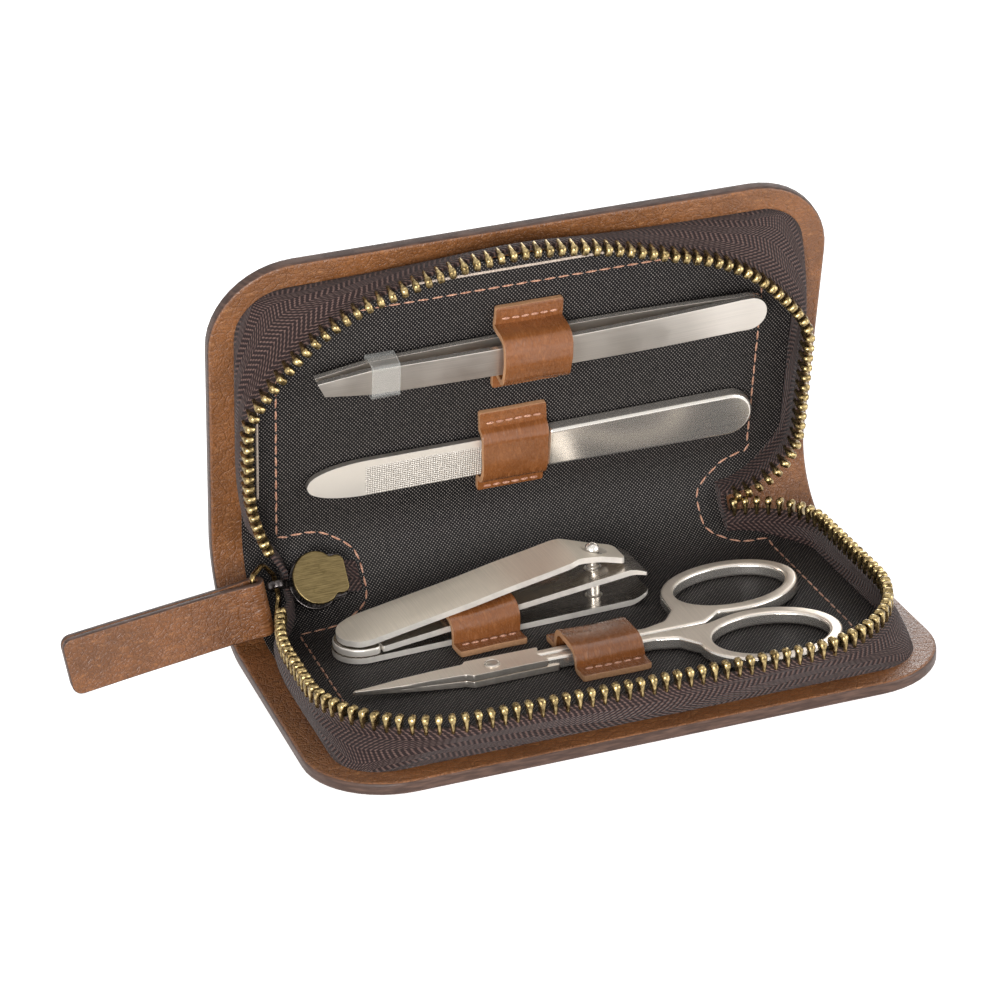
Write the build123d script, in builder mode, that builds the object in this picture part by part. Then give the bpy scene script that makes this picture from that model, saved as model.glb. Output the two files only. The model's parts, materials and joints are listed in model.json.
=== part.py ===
from build123d import *

import os
from math import asin, atan2, cos, degrees, radians, sin, tan

# A zip-round manicure case, standing open with its lid leaning over it.  Millimetres, +Z up.
# The origin is the middle of the flat underside of the lower half.  The two halves turn on
# one axis, parallel to X, halfway up the closed case.  On each half a place is given by x,
# by its distance from that axis along the half, and by its height above the outer leather.

# --- case -----------------------------------------------------------------------------
case_length = 125.0
panel_reach = 69.5            # hinge axis to a half's front edge
closed_thickness = 22.5
opening_angle = 75.0          # between the two halves, as they stand
bend_start = 8.4              # hinge axis to where the flat of a half begins
cover_wall = 2.5
cover_corner = 17.0
cover_edge_round = 0.8
board_thickness = 1.0
board_margin = 5.0
lining_thickness = 0.6
lining_side_margin = 9.5      # in from the end of the case
lining_front_margin = 8.8
lining_corner = 12.0
lining_notch_margin = 22.0    # round end of the notch in the lining at the zip's right end
lining_notch_half = 6.6

# --- zip tapes and teeth --------------------------------------------------------------
tape_wall = 1.0
foot_side_margin = 5.3        # where the tape is sewn to the leather
foot_front_margin = 5.1
foot_corner = 15.0
foot_left_draw_in = 3.7       # the foot draws in towards the hinge at the slider's end
chain_side_margin = 4.9       # outer face of the tape beside the teeth
chain_front_margin = 3.0
chain_corner = 26.0
chain_right_draw_in = 15.1    # how far each end of the zip curls in
chain_left_draw_in = 8.8
chain_left_rise = 28.0        # where the left end starts to curve in
tape_fold = 8.0               # height where the tape stands upright
tape_edge = 9.3
tape_end_reach = 9.0          # nearer the hinge than this the tape bends with the lid
tooth_pitch = 2.4
tooth_length = 1.0            # along the chain
tooth_width = 2.4             # across the tape
tooth_bottom = 8.35
tooth_overlap = 0.8           # how far a tooth passes the plane between the halves
tooth_head_height = 0.5
tooth_head_width = 1.8
tooth_slot_gap = 0.1
first_tooth = 3.6             # distance along the chain from its right end
last_tooth_margin = 5.4       # chain left bare at the slider's end
top_stop_width = 2.6

# --- slider, ring and tab -------------------------------------------------------------
slider_length = 10.8
slider_wide = 10.5
slider_narrow = 8.0
slider_plate = 1.0
slider_gap = 2.7
slider_flange = 0.7
slider_flange_width = 0.9
slider_nose_reach = 3.4       # length of the rounded nose
post_length = 1.8
post_width = 2.2
post_from_left = 3.3
tail_thickness = 0.6
tail_width = 8.0
tail_in_slider = 5.8          # from the slider's nose to the tail's end inside it
tail_flat_length = 8.0
tail_slope_length = 4.5
tail_gap = 0.5
stop_length = 1.8
stop_width = 4.4
stop_height = 2.2
stop_to_slider = 0.6
link_wire = 1.0
link_lead = 6.0               # middle of the link ahead of the slider's nose
link_forward = 3.2            # and in front of the hinge axis
link_drop = 0.15              # and below it
link_heading = 49.0           # of the link's width, seen from above, from +X
link_straight_side = 3.6
link_round_side = 4.6
link_half_height = 6.6
link_shoulder_x = 1.4
link_shoulder_height = 2.4
link_corner_radius = 1.0
link_bend_radius = 2.4
crown_neck = 0.6
crown_width = 1.4
crown_rim = 0.8
crown_gap_x = 0.5
crown_gap_n = 0.9
crown_root_reach = 2.2
tab_length = 38.5
tab_width = 11.5
tab_thickness = 2.8
tab_slope = 7.3
tab_corner = 2.2
tab_fold_reach = 1.7
tab_fold_flat = 0.2           # flat left between the two rounded edges of the fold
tab_channel_radius = 0.95

# --- loops ----------------------------------------------------------------------------
loop_thickness = 1.4
loop_length = 13.6            # along X
loop_clearance = 0.4
loop_top_radius = 1.7
loop_foot_radius = 1.0
loop_flap = 4.6
file_hinge_flap = 3.2         # the flap beside the bend is shorter
clipper_hinge_flap = 0.9
loop_top_share = 0.6          # most of a low loop's height that a bend may take up
loop_foot_share = 0.36
loop_flap_share = 0.9         # and of a short flap's length

# --- tweezers, on the lid -------------------------------------------------------------
tool_rest_gap = 0.2           # between the lining and a tool
tweezer_reach = 43.4
tweezer_tip_x = -42.0
tweezer_tail_x = 49.0
tweezer_arm = 1.2
tweezer_spread = 5.0          # over both arms, where they stand widest apart
tweezer_spread_x = 5.0
tweezer_tip_gap = 0.8
tweezer_tail_width = 7.6
tweezer_mid_width = 6.6
tweezer_neck_width = 5.8
tweezer_neck_x = -32.0
tweezer_tip_width = 3.4
tweezer_weld_x = 43.0
tweezer_weld_gap = 0.3
tweezer_loop_x = 0.4
band_left = -32.2
band_width = 5.6
band_wall = 0.5
band_clearance = 0.15

# --- nail file, on the lid ------------------------------------------------------------
file_reach = 18.0
file_tip_x = -43.8
file_shoulder_x = -31.0
file_handle_x = 5.3
file_tail_x = 48.6
file_blade_width = 8.6
file_blade = 1.2
file_handle_width = 9.0
file_handle_tail_width = 10.2
file_handle_height = 3.0
file_handle_wall = 0.6
file_handle_roll = 1.4
file_loop_x = -1.8

# --- nail clipper, on the lower half --------------------------------------------------
clipper_end_x = -46.0
clipper_end_reach = 17.9
clipper_turn = 2.6
clipper_length = 63.8
clipper_width = 11.5
clipper_sheet = 1.2
clipper_joint_length = 8.0
clipper_joint_height = 1.7
clipper_joint_gap = 0.5
clipper_bite_reach = 60.0     # from the joint end to where the jaws curl together
clipper_upper_rise = 4.8      # how much higher the upper jaw stands there
clipper_lower_curl = 1.8
clipper_upper_curl = 1.0
clipper_jaw_gap = 0.2
pin_reach = 54.0
pin_radius = 1.3
pin_hole_gap = 0.45
pin_ball_radius = 1.5
pin_ball_height = 14.2
pin_foot_radius = 2.3
pin_foot_height = 0.4
lever_start = 1.0
lever_start_height = 7.6
lever_bend_reach = 49.0
lever_bend_height = 15.3
lever_nose_reach = 59.5
lever_nose_height = 12.5
lever_nose_width = 7.4
lever_hole_gap = 0.6
clipper_loop_reach = 21.8     # from the joint end to the loop
clipper_loop_headroom = 0.45

# --- scissors, on the lower half ------------------------------------------------------
scissors_thickness = 2.8
scissors_tip = (-47.0, 36.6)
scissors_pivot = (-20.8, 38.4)
scissors_box_left = -26.0
scissors_box_right = -7.2
scissors_box_half_width = 3.2
scissors_blade_half_width = 2.0
scissors_tip_width = 0.5
scissors_split_gap = 0.3
scissors_layer_gap = 0.1
scissors_shank_width = 2.4
scissors_shank_end = 14.0
scissors_shank_root = 0.6     # how far a shank reaches under the box joint
scissors_rivet_radius = 1.55
scissors_rivet_gap = 0.1
ring_wire = 3.2
back_ring = (32.6, 25.0)
back_ring_half_length = 13.6
back_ring_half_width = 10.6
front_ring = (32.9, 47.6)
front_ring_half_length = 13.2
front_ring_half_width = 10.9
ring_tilt = 6.0
ring_web_share = 0.8          # how far out on its ring a shank runs in
scissors_loop_x = 0.8
scissors_loop_side_room = 1.6  # extra room on the side where the handle opens

# --- worked out -----------------------------------------------------------------------
half_length = case_length / 2
beyond = 2 * case_length      # longer than anything here, for cuts
lining_half_length = half_length - lining_side_margin
lining_reach = panel_reach - lining_front_margin
lining_notch_x = half_length - lining_notch_margin
foot_half_length = half_length - foot_side_margin
foot_reach = panel_reach - foot_front_margin
chain_half_length = half_length - chain_side_margin
chain_reach = panel_reach - chain_front_margin
chain_right_end_x = chain_half_length - chain_right_draw_in
chain_left_end_x = chain_half_length - chain_left_draw_in
slider_left = -chain_left_end_x
chain_height = closed_thickness / 2
hinge_y = (bend_start + panel_reach) / 2
bend_angle = 180 - opening_angle
half_gap = radians(opening_angle / 2)
bend_radius = chain_height + bend_start * tan(half_gap)
lining_top = cover_wall + lining_thickness
tool_floor = lining_top + tool_rest_gap

hinge = Vector(0, hinge_y, chain_height)
hinge_axis = Axis(tuple(hinge), (1, 0, 0))
bend_axis = Axis((0, hinge_y - bend_start, bend_radius), (1, 0, 0))

lid_normal = Vector(0, -sin(radians(opening_angle)), -cos(radians(opening_angle)))
base_plane = Plane(origin=(0, hinge_y, 0), x_dir=(1, 0, 0), z_dir=(0, 0, 1))
lid_plane = Plane(origin=hinge - lid_normal * chain_height, x_dir=(1, 0, 0), z_dir=lid_normal)
halves = (("lower", base_plane, -1), ("upper", lid_plane, 1))

zip_normal = Vector(0, -cos(half_gap), sin(half_gap))
zip_across = Vector(0, sin(half_gap), cos(half_gap))
zip_plane = Plane(origin=hinge, x_dir=(1, 0, 0), z_dir=zip_normal)
zip_section = Plane(origin=hinge, x_dir=(1, 0, 0), z_dir=-zip_across)

os.makedirs("parts", exist_ok=True)


def side_plane(panel, away, reach):
    """Upright plane along X at a distance from the hinge: x across, height up."""
    return Plane(origin=panel.from_local_coords((0, away * reach, 0)),
                 x_dir=panel.x_dir, z_dir=-panel.y_dir)


def cross_plane(panel, away, x):
    """Upright plane across the half at x: distance from the hinge across, height up."""
    outward = panel.y_dir * away
    return Plane(origin=panel.from_local_coords((x, 0, 0)),
                 x_dir=outward, z_dir=outward.cross(panel.z_dir))


def panel_outline(half, near, far, corner, away):
    """Outline of a flat layer: square at the hinge side, two round corners in front."""
    with BuildSketch() as outline:
        with Locations((0, away * (near + far) / 2)):
            Rectangle(2 * half, far - near)
        fillet(outline.vertices().group_by(Axis.Y)[-1 if away > 0 else 0], corner)
    return outline.sketch


def foot_face(plane, inset, away):
    """Region inside the tape's sewn foot, its back edge on the hinge axis."""
    half = foot_half_length - inset
    left = foot_half_length - foot_left_draw_in - inset
    front = foot_reach - inset
    corner = foot_corner - inset
    with BuildLine(plane) as outline:
        if inset:
            Line((half, 0), (half, away * inset))
        Line((half, away * inset), (half, away * chain_right_draw_in))
        Line((half, away * chain_right_draw_in), (half, away * (front - corner)))
        CenterArc((half - corner, away * (front - corner)), corner, 0, away * 90)
        Line((half - corner, away * front), (corner - half, away * front))
        CenterArc((corner - half, away * (front - corner)), corner, away * 90, away * 90)
        Line((-half, away * (front - corner)), (-half, away * chain_left_rise))
        Line((-half, away * chain_left_rise), (-left, 0))
        Line((-left, 0), (half, 0))
    return Face(outline.wire())


def chain_run(inset, away):
    """Draws the tape's run beside the teeth, from its right end round to the slider."""
    half = chain_half_length - inset
    front = chain_reach - inset
    corner = chain_corner - inset
    left_radius = ((chain_left_draw_in**2 + chain_left_rise**2)
                   / (2 * chain_left_draw_in))
    left_sweep = degrees(asin(chain_left_rise / (left_radius - inset)))
    CenterArc((chain_right_end_x, away * chain_right_draw_in), chain_right_draw_in - inset,
              -away * 90, away * 90)
    Line((half, away * chain_right_draw_in), (half, away * (front - corner)))
    CenterArc((half - corner, away * (front - corner)), corner, 0, away * 90)
    Line((half - corner, away * front), (corner - half, away * front))
    CenterArc((corner - half, away * (front - corner)), corner, away * 90, away * 90)
    Line((-half, away * (front - corner)), (-half, away * chain_left_rise))
    return CenterArc((left_radius - chain_half_length, away * chain_left_rise),
                     left_radius - inset, 180, away * left_sweep)


def chain_face(plane, inset, away):
    """Region inside the tape at the teeth, its back edge on the hinge axis."""
    with BuildLine(plane) as outline:
        if inset:
            Line((chain_right_end_x, 0), (chain_right_end_x, away * inset))
        end = chain_run(inset, away)
        Line(end @ 1, (chain_right_end_x, 0))
    return Face(outline.wire())


def chain_line(away):
    """Middle of the tape beside the teeth."""
    with BuildLine() as line:
        chain_run(tape_wall / 2, away)
    return line.wire()


def on_chain(chain, distance):
    """Place and heading of a tooth at a distance along the chain."""
    point = chain.position_at(distance, position_mode=PositionMode.LENGTH)
    heading = chain.tangent_at(distance, position_mode=PositionMode.LENGTH)
    return Location((point.X, point.Y, 0), (0, 0, degrees(atan2(heading.Y, heading.X))))


def tape_shell(panel, away):
    """The whole tape of one half: sloping from its foot, then upright beside the teeth."""
    foot = panel.offset(cover_wall)
    fold = panel.offset(tape_fold)
    with BuildPart() as shell:
        loft([foot_face(foot, 0, away), chain_face(fold, 0, away)], ruled=True)
        extrude(chain_face(fold, 0, away), amount=tape_edge - tape_fold, dir=panel.z_dir)
        loft([foot_face(foot, tape_wall, away), chain_face(fold, tape_wall, away)],
             ruled=True, mode=Mode.SUBTRACT)
        extrude(chain_face(fold, tape_wall, away), amount=tape_edge - tape_fold,
                dir=panel.z_dir, mode=Mode.SUBTRACT)
    return shell.part


def tape_slot(panel, away):
    """Room that a tooth leaves for the tape's edge."""
    with BuildPart() as slot:
        with BuildSketch(panel.offset(tooth_bottom)):
            with BuildLine():
                add(chain_line(away))
            trace(line_width=tape_wall + 2 * tooth_slot_gap)
        extrude(amount=tape_edge + tooth_slot_gap - tooth_bottom)
    return slot.part


def block(panel, away, x_from, x_to, near, far, low, high):
    """Plain box on a half, used to keep one region of a larger shape."""
    with BuildPart() as box:
        with BuildSketch(panel.offset(low)):
            with Locations(((x_from + x_to) / 2, away * (near + far) / 2)):
                Rectangle(x_to - x_from, far - near)
        extrude(amount=high - low)
    return box.part


def strap(inner_half, inner_top, flap_near, flap_far, floor):
    """Section of a loop: a strap over a tool with two sewn flaps, near one first."""
    mid = loop_thickness / 2
    wall = inner_half + mid
    rise = inner_top - floor
    top_radius = min(loop_top_radius, loop_top_share * rise)
    foot_radius = min(loop_foot_radius, loop_foot_share * rise)
    feet = [min(foot_radius, loop_flap_share * flap) for flap in (flap_near, flap_far)]
    with BuildSketch() as section:
        with BuildLine():
            FilletPolyline(
                (-wall - flap_near, floor + mid),
                (-wall, floor + mid),
                (-wall, inner_top + mid),
                (wall, inner_top + mid),
                (wall, floor + mid),
                (wall + flap_far, floor + mid),
                radius=[feet[0], top_radius, top_radius, feet[1]],
            )
        trace(line_width=loop_thickness)
    return section.sketch


# --- covers, boards and linings -------------------------------------------------------
for side, panel, away in halves:
    up = Axis(tuple(panel.origin), tuple(panel.z_dir))
    outward = Axis(tuple(panel.origin), tuple(panel.y_dir * away))

    with BuildPart() as cover:
        with BuildSketch(panel):
            add(panel_outline(half_length, bend_start, panel_reach, cover_corner, away))
        extrude(amount=cover_wall)
        outer_rim = cover.faces().sort_by(up)[0].edges().sort_by(outward)[1:]
        fillet(outer_rim, min(cover_edge_round, cover_wall / 3))
        with BuildSketch(panel.offset(cover_wall)):
            add(panel_outline(half_length - board_margin, bend_start + board_margin,
                              panel_reach - board_margin, cover_corner - board_margin, away))
        extrude(amount=-board_thickness, mode=Mode.SUBTRACT)
    cover.part.label = f"cover_{side}"
    export_step(cover.part, f"parts/cover_{side}.step")

    with BuildPart() as board:
        with BuildSketch(panel.offset(cover_wall - board_thickness)):
            add(panel_outline(half_length - board_margin, bend_start + board_margin,
                              panel_reach - board_margin, cover_corner - board_margin, away))
        extrude(amount=board_thickness)
    board.part.label = f"board_{side}"
    export_step(board.part, f"parts/board_{side}.step")

    with BuildPart() as lining:
        with BuildSketch(panel.offset(cover_wall)):
            add(panel_outline(lining_half_length, bend_start, lining_reach, lining_corner, away))
        extrude(amount=lining_thickness)
    lining.part.label = f"lining_{side}"
    export_step(lining.part, f"parts/lining_{side}.step")

# --- bend of the leather and of the lining behind the hinge axis ----------------------
bend_section = Plane.XZ.offset(bend_start - hinge_y)

with BuildPart() as cover_spine:
    with BuildSketch(bend_section):
        with Locations((0, cover_wall / 2)):
            Rectangle(case_length, cover_wall)
    revolve(axis=bend_axis, revolution_arc=bend_angle)
cover_spine.part.label = "cover_spine"
export_step(cover_spine.part, "parts/cover_spine.step")

with BuildPart() as lining_spine:
    with BuildSketch(bend_section):
        with Locations((0, cover_wall + lining_thickness / 2)):
            Rectangle(2 * lining_half_length, lining_thickness)
    revolve(axis=bend_axis, revolution_arc=bend_angle)
    with BuildSketch(zip_plane):
        with Locations((lining_notch_x + lining_notch_half, 0)):
            Circle(lining_notch_half)
        with Locations((lining_notch_x + lining_notch_half + half_length / 2, 0)):
            Rectangle(half_length, 2 * lining_notch_half)
    extrude(amount=-bend_radius, mode=Mode.SUBTRACT)
lining_spine.part.label = "lining_spine"
export_step(lining_spine.part, "parts/lining_spine.step")

# --- zip tapes ------------------------------------------------------------------------
for side, panel, away in halves:
    with BuildPart() as gusset:
        add(tape_shell(panel, away))
        add(block(panel, away, -half_length, half_length, tape_end_reach, panel_reach,
                  0, closed_thickness), mode=Mode.INTERSECT)
    gusset.part.label = f"gusset_{side}"
    export_step(gusset.part, f"parts/gusset_{side}.step")

for name, sign, chain_x, fan_x in (
        ("right", 1, chain_right_end_x, chain_right_end_x - tape_wall / 2),
        ("left", -1, chain_left_end_x, chain_left_end_x + tape_wall / 2)):
    with BuildPart() as gusset_end:
        for side, panel, away in halves:
            with BuildSketch(panel.offset(lining_top)):
                with BuildLine():
                    add(chain_line(away))
                trace(line_width=tape_wall)
                with Locations((sign * (chain_x + half_length / 2), away * tape_end_reach / 2)):
                    Rectangle(half_length, tape_end_reach, mode=Mode.INTERSECT)
                with Locations((sign * fan_x, away * tape_wall / 2)):
                    Rectangle(tape_wall, tape_wall)
            extrude(amount=tape_edge - lining_top)
        with BuildSketch(Plane.XZ.offset(-hinge_y)):
            with Locations((sign * fan_x, tape_edge / 2)):
                Rectangle(tape_wall, tape_edge)
        revolve(axis=hinge_axis, revolution_arc=bend_angle)
        with BuildSketch(Plane.YZ):
            with Locations((hinge_y - bend_start, bend_radius)):
                Circle(bend_radius - lining_top)
        extrude(amount=beyond, both=True, mode=Mode.INTERSECT)
    gusset_end.part.label = f"gusset_end_{name}"
    export_step(gusset_end.part, f"parts/gusset_end_{name}.step")

# --- teeth and top stops --------------------------------------------------------------
for side, panel, away in halves:
    chain = chain_line(away)
    start = first_tooth if side == "lower" else first_tooth + tooth_pitch / 2
    count = int((chain.length - last_tooth_margin - start) / tooth_pitch)
    spots = [on_chain(chain, start + tooth_pitch * i) for i in range(count)]
    tooth_top = chain_height + tooth_overlap
    with BuildPart() as teeth:
        with BuildSketch(panel.offset(tooth_bottom)):
            with Locations(*spots):
                Rectangle(tooth_length, tooth_width)
        extrude(amount=tooth_top - tooth_head_height - tooth_bottom)
        with BuildSketch(panel.offset(tooth_top - tooth_head_height)):
            with Locations(*spots):
                Rectangle(tooth_length, tooth_head_width)
        extrude(amount=tooth_head_height)
        add(tape_slot(panel, away), mode=Mode.SUBTRACT)
    teeth.part.label = f"teeth_{side}"
    export_step(teeth.part, f"parts/teeth_{side}.step")

    stop_place = start - tooth_pitch
    with BuildPart() as top_stop:
        with BuildSketch(panel.offset(tooth_bottom)):
            with Locations(on_chain(chain, stop_place)):
                Rectangle(tooth_length, top_stop_width)
        extrude(amount=tooth_top - tooth_bottom)
        add(tape_slot(panel, away), mode=Mode.SUBTRACT)
    top_stop.part.label = f"top_stop_{side}"
    export_step(top_stop.part, f"parts/top_stop_{side}.step")

# --- slider: two plates, a post between them and an eye at the nose -------------------
slider_right = slider_left + slider_length
plate_inside = slider_gap / 2


def slider_outline():
    """Pear-shaped slider plate: round and wide at the nose, narrower at the tail."""
    shoulder = slider_left + slider_nose_reach
    with BuildSketch() as outline:
        with BuildLine():
            ThreePointArc((shoulder, slider_wide / 2), (slider_left, 0),
                          (shoulder, -slider_wide / 2))
            Polyline((shoulder, -slider_wide / 2), (slider_right, -slider_narrow / 2),
                     (slider_right, slider_narrow / 2), (shoulder, slider_wide / 2))
        make_face()
        fillet(outline.vertices().group_by(Axis.X)[-1], slider_flange)
    return outline.sketch


for name, facing in (("inner", 1), ("outer", -1)):
    with BuildPart() as plate:
        with BuildSketch(zip_plane.offset(facing * plate_inside)):
            add(slider_outline())
        extrude(amount=facing * slider_plate)
        with BuildSketch(zip_plane.offset(facing * plate_inside)):
            for edge in (1, -1):
                with BuildLine():
                    Line((slider_left + slider_nose_reach, edge * slider_wide / 2),
                         (slider_right - slider_flange, edge * slider_narrow / 2))
                trace(line_width=2 * slider_flange_width)
            add(slider_outline(), mode=Mode.INTERSECT)
        extrude(amount=-facing * slider_flange)
    plate.part.label = f"slider_{name}_plate"
    export_step(plate.part, f"parts/slider_{name}_plate.step")

with BuildPart() as slider_post:
    with BuildSketch(zip_plane.offset(-plate_inside)):
        with Locations((slider_left + post_from_left, 0)):
            Ellipse(post_length / 2, post_width / 2)
    extrude(amount=slider_gap)
slider_post.part.label = "slider_post"
export_step(slider_post.part, "parts/slider_post.step")

# --- link between slider and tab ------------------------------------------------------
slope = radians(tab_slope)
link_up = Vector(-sin(slope), 0, cos(slope))
heading = radians(link_heading)
link_level = Vector(cos(heading), sin(heading), 0)
link_along = (link_level - link_up * link_level.dot(link_up)).normalized()
link_middle = hinge + Vector(slider_left - link_lead, -link_forward, -link_drop)
link_plane = Plane(origin=link_middle, x_dir=link_along, z_dir=link_along.cross(link_up))

with BuildPart() as pull_ring:
    with BuildLine(link_plane) as link_line:
        FilletPolyline(
            (-link_straight_side, -link_half_height),
            (-link_straight_side, link_half_height),
            (link_shoulder_x, link_half_height),
            (link_round_side, link_shoulder_height),
            (link_round_side, -link_shoulder_height),
            (link_shoulder_x, -link_half_height),
            radius=[link_corner_radius, link_corner_radius, link_bend_radius,
                    link_bend_radius, link_bend_radius, link_bend_radius],
            close=True,
        )
    with BuildSketch(Plane(origin=link_line.wire() @ 0, z_dir=link_line.wire() % 0)):
        Circle(link_wire / 2)
    sweep(path=link_line.wire())
pull_ring.part.label = "pull_ring"
export_step(pull_ring.part, "parts/pull_ring.step")

crown_eye = zip_section.to_local_coords(link_middle + link_along * link_round_side)
crown_root = slider_left + crown_root_reach
with BuildPart() as slider_crown:
    with BuildSketch(zip_section.offset(crown_eye.Z - crown_width / 2)):
        with Locations((crown_eye.X, crown_eye.Y)):
            Ellipse(link_wire / 2 + crown_gap_x + crown_rim,
                    link_wire / 2 + crown_gap_n + crown_rim)
        with BuildLine():
            Polyline((crown_root, -plate_inside),
                     (crown_root, crown_neck - plate_inside),
                     (crown_eye.X, crown_eye.Y + crown_neck),
                     (crown_eye.X, crown_eye.Y - link_wire),
                     close=True)
        make_face()
        with Locations((crown_eye.X, crown_eye.Y)):
            Ellipse(link_wire / 2 + crown_gap_x, link_wire / 2 + crown_gap_n,
                    mode=Mode.SUBTRACT)
    extrude(amount=crown_width)
slider_crown.part.label = "slider_crown"
export_step(slider_crown.part, "parts/slider_crown.step")

# --- folded leather tab on the link ---------------------------------------------------
fold = link_middle - link_along * link_straight_side
tab_plane = Plane(origin=fold, x_dir=Vector(-cos(slope), 0, -sin(slope)), z_dir=(0, -1, 0))
with BuildPart() as pull_tab:
    with BuildSketch(tab_plane.offset(-tab_thickness / 2)):
        with Locations(((tab_length - tab_fold_reach) / 2, 0)):
            Rectangle(tab_length + tab_fold_reach, tab_width)
        fillet(vertices().sort_by(Axis.X)[-2:], tab_corner)
    extrude(amount=tab_thickness)
    fold_edge = Axis(tuple(fold), tuple(tab_plane.x_dir))
    fillet(pull_tab.faces().sort_by(fold_edge)[0].edges().filter_by(Axis(
        tuple(fold), tuple(tab_plane.y_dir))), (tab_thickness - tab_fold_flat) / 2)
    with BuildSketch(Plane(origin=fold, x_dir=tab_plane.x_dir, z_dir=tab_plane.y_dir)):
        Circle(tab_channel_radius)
    extrude(amount=tab_width, both=True, mode=Mode.SUBTRACT)
pull_tab.part.label = "pull_tab"
export_step(pull_tab.part, "parts/pull_tab.step")

# --- closed end of the zip behind the slider ------------------------------------------
spine_depth = (bend_radius - lining_top) - (bend_radius - chain_height) / sin(half_gap)
tail_start = slider_left + tail_in_slider
tail_bend = tail_start + tail_flat_length
with BuildPart() as tape_tail:
    with BuildSketch(zip_section.offset(-tail_width / 2)):
        with BuildLine():
            FilletPolyline((tail_start, 0), (tail_bend, 0),
                           (tail_bend + tail_slope_length,
                            tail_gap + tail_thickness / 2 - spine_depth),
                           radius=tail_thickness)
        trace(line_width=tail_thickness)
    extrude(amount=tail_width)
tape_tail.part.label = "tape_tail"
export_step(tape_tail.part, "parts/tape_tail.step")

with BuildPart() as bottom_stop:
    with BuildSketch(zip_plane.offset(-stop_height / 2)):
        with Locations((slider_right + stop_to_slider + stop_length / 2, 0)):
            Rectangle(stop_length, stop_width)
    extrude(amount=stop_height)
    with BuildSketch(zip_plane.offset(-tail_thickness / 2)):
        with Locations((slider_right + stop_to_slider, 0)):
            Rectangle(beyond, tail_width)
    extrude(amount=tail_thickness, mode=Mode.SUBTRACT)
bottom_stop.part.label = "bottom_stop"
export_step(bottom_stop.part, "parts/bottom_stop.step")

# --- tweezers: two sprung arms welded at the tail, and a clear band over their tips -----
tweezer_plane = side_plane(lid_plane, 1, tweezer_reach)
tweezer_mid = tool_floor + band_wall + tweezer_spread / 2
tweezer_tip_half = tweezer_tip_gap / 2 + tweezer_arm
tweezer_bow = tweezer_spread / 2


def tweezer_side(facing, x_end):
    """Side view of one bowed arm, from the tip to x_end."""
    with BuildSketch() as view:
        with BuildLine():
            outer = ThreePointArc((tweezer_tip_x, tweezer_mid + facing * tweezer_tip_half),
                                  (tweezer_spread_x, tweezer_mid + facing * tweezer_bow),
                                  (x_end, tweezer_mid + facing * tweezer_arm))
            inner = ThreePointArc((x_end, tweezer_mid),
                                  (tweezer_spread_x,
                                   tweezer_mid + facing * (tweezer_bow - tweezer_arm)),
                                  (tweezer_tip_x, tweezer_mid + facing * tweezer_tip_gap / 2))
            Line(inner @ 1, outer @ 0)
            Line(outer @ 1, inner @ 0)
        make_face()
    return view.sketch


def tweezer_plan():
    """Plan of the tweezers: slanted tip, widening to a round tail."""
    tail_start = tweezer_tail_x - tweezer_tail_width / 2
    with BuildSketch() as plan:
        with BuildLine():
            Polyline((tail_start, tweezer_tail_width / 2),
                     (tweezer_spread_x, tweezer_mid_width / 2),
                     (tweezer_neck_x, tweezer_neck_width / 2),
                     (tweezer_tip_x, tweezer_tip_width / 2),
                     (tweezer_tip_x + tweezer_tip_width / 3, -tweezer_tip_width / 2),
                     (tweezer_neck_x, -tweezer_neck_width / 2),
                     (tweezer_spread_x, -tweezer_mid_width / 2),
                     (tail_start, -tweezer_tail_width / 2))
            ThreePointArc((tail_start, -tweezer_tail_width / 2), (tweezer_tail_x, 0),
                          (tail_start, tweezer_tail_width / 2))
        make_face()
    return plan.sketch


tweezer_top = Plane(origin=lid_plane.from_local_coords((0, tweezer_reach, 0)),
                    x_dir=lid_plane.x_dir, z_dir=lid_plane.z_dir)

with BuildPart() as tweezers_back:
    with BuildSketch(tweezer_plane):
        add(tweezer_side(-1, tweezer_weld_x))
        with Locations(((tweezer_weld_x + tweezer_tail_x) / 2, tweezer_mid)):
            Rectangle(tweezer_tail_x - tweezer_weld_x, 2 * tweezer_arm)
    extrude(amount=tweezer_tail_width, both=True)
    with BuildSketch(tweezer_top):
        add(tweezer_plan())
    extrude(amount=closed_thickness, mode=Mode.INTERSECT)
tweezers_back.part.label = "tweezers_back"
export_step(tweezers_back.part, "parts/tweezers_back.step")

with BuildPart() as tweezers_front:
    with BuildSketch(tweezer_plane):
        add(tweezer_side(1, tweezer_weld_x - tweezer_weld_gap))
    extrude(amount=tweezer_tail_width, both=True)
    with BuildSketch(tweezer_top):
        add(tweezer_plan())
    extrude(amount=closed_thickness, mode=Mode.INTERSECT)
tweezers_front.part.label = "tweezers_front"
export_step(tweezers_front.part, "parts/tweezers_front.step")

band_right_half = (tweezer_tip_half + (tweezer_bow - tweezer_tip_half)
                   * (1 - ((tweezer_spread_x - band_left - band_width)
                           / (tweezer_spread_x - tweezer_tip_x))**2))
with BuildPart() as guard_band:
    with BuildSketch(Plane(origin=tweezer_top.from_local_coords((band_left, 0, tweezer_mid)),
                           x_dir=tweezer_top.y_dir, z_dir=tweezer_top.x_dir)):
        RectangleRounded(tweezer_mid_width + 2 * (band_clearance + band_wall),
                         2 * (band_right_half + band_clearance + band_wall), 2 * band_wall)
        RectangleRounded(tweezer_mid_width + 2 * band_clearance,
                         2 * (band_right_half + band_clearance), band_wall / 2,
                         mode=Mode.SUBTRACT)
    extrude(amount=band_width)
guard_band.part.label = "guard_band"
export_step(guard_band.part, "parts/guard_band.step")

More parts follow.
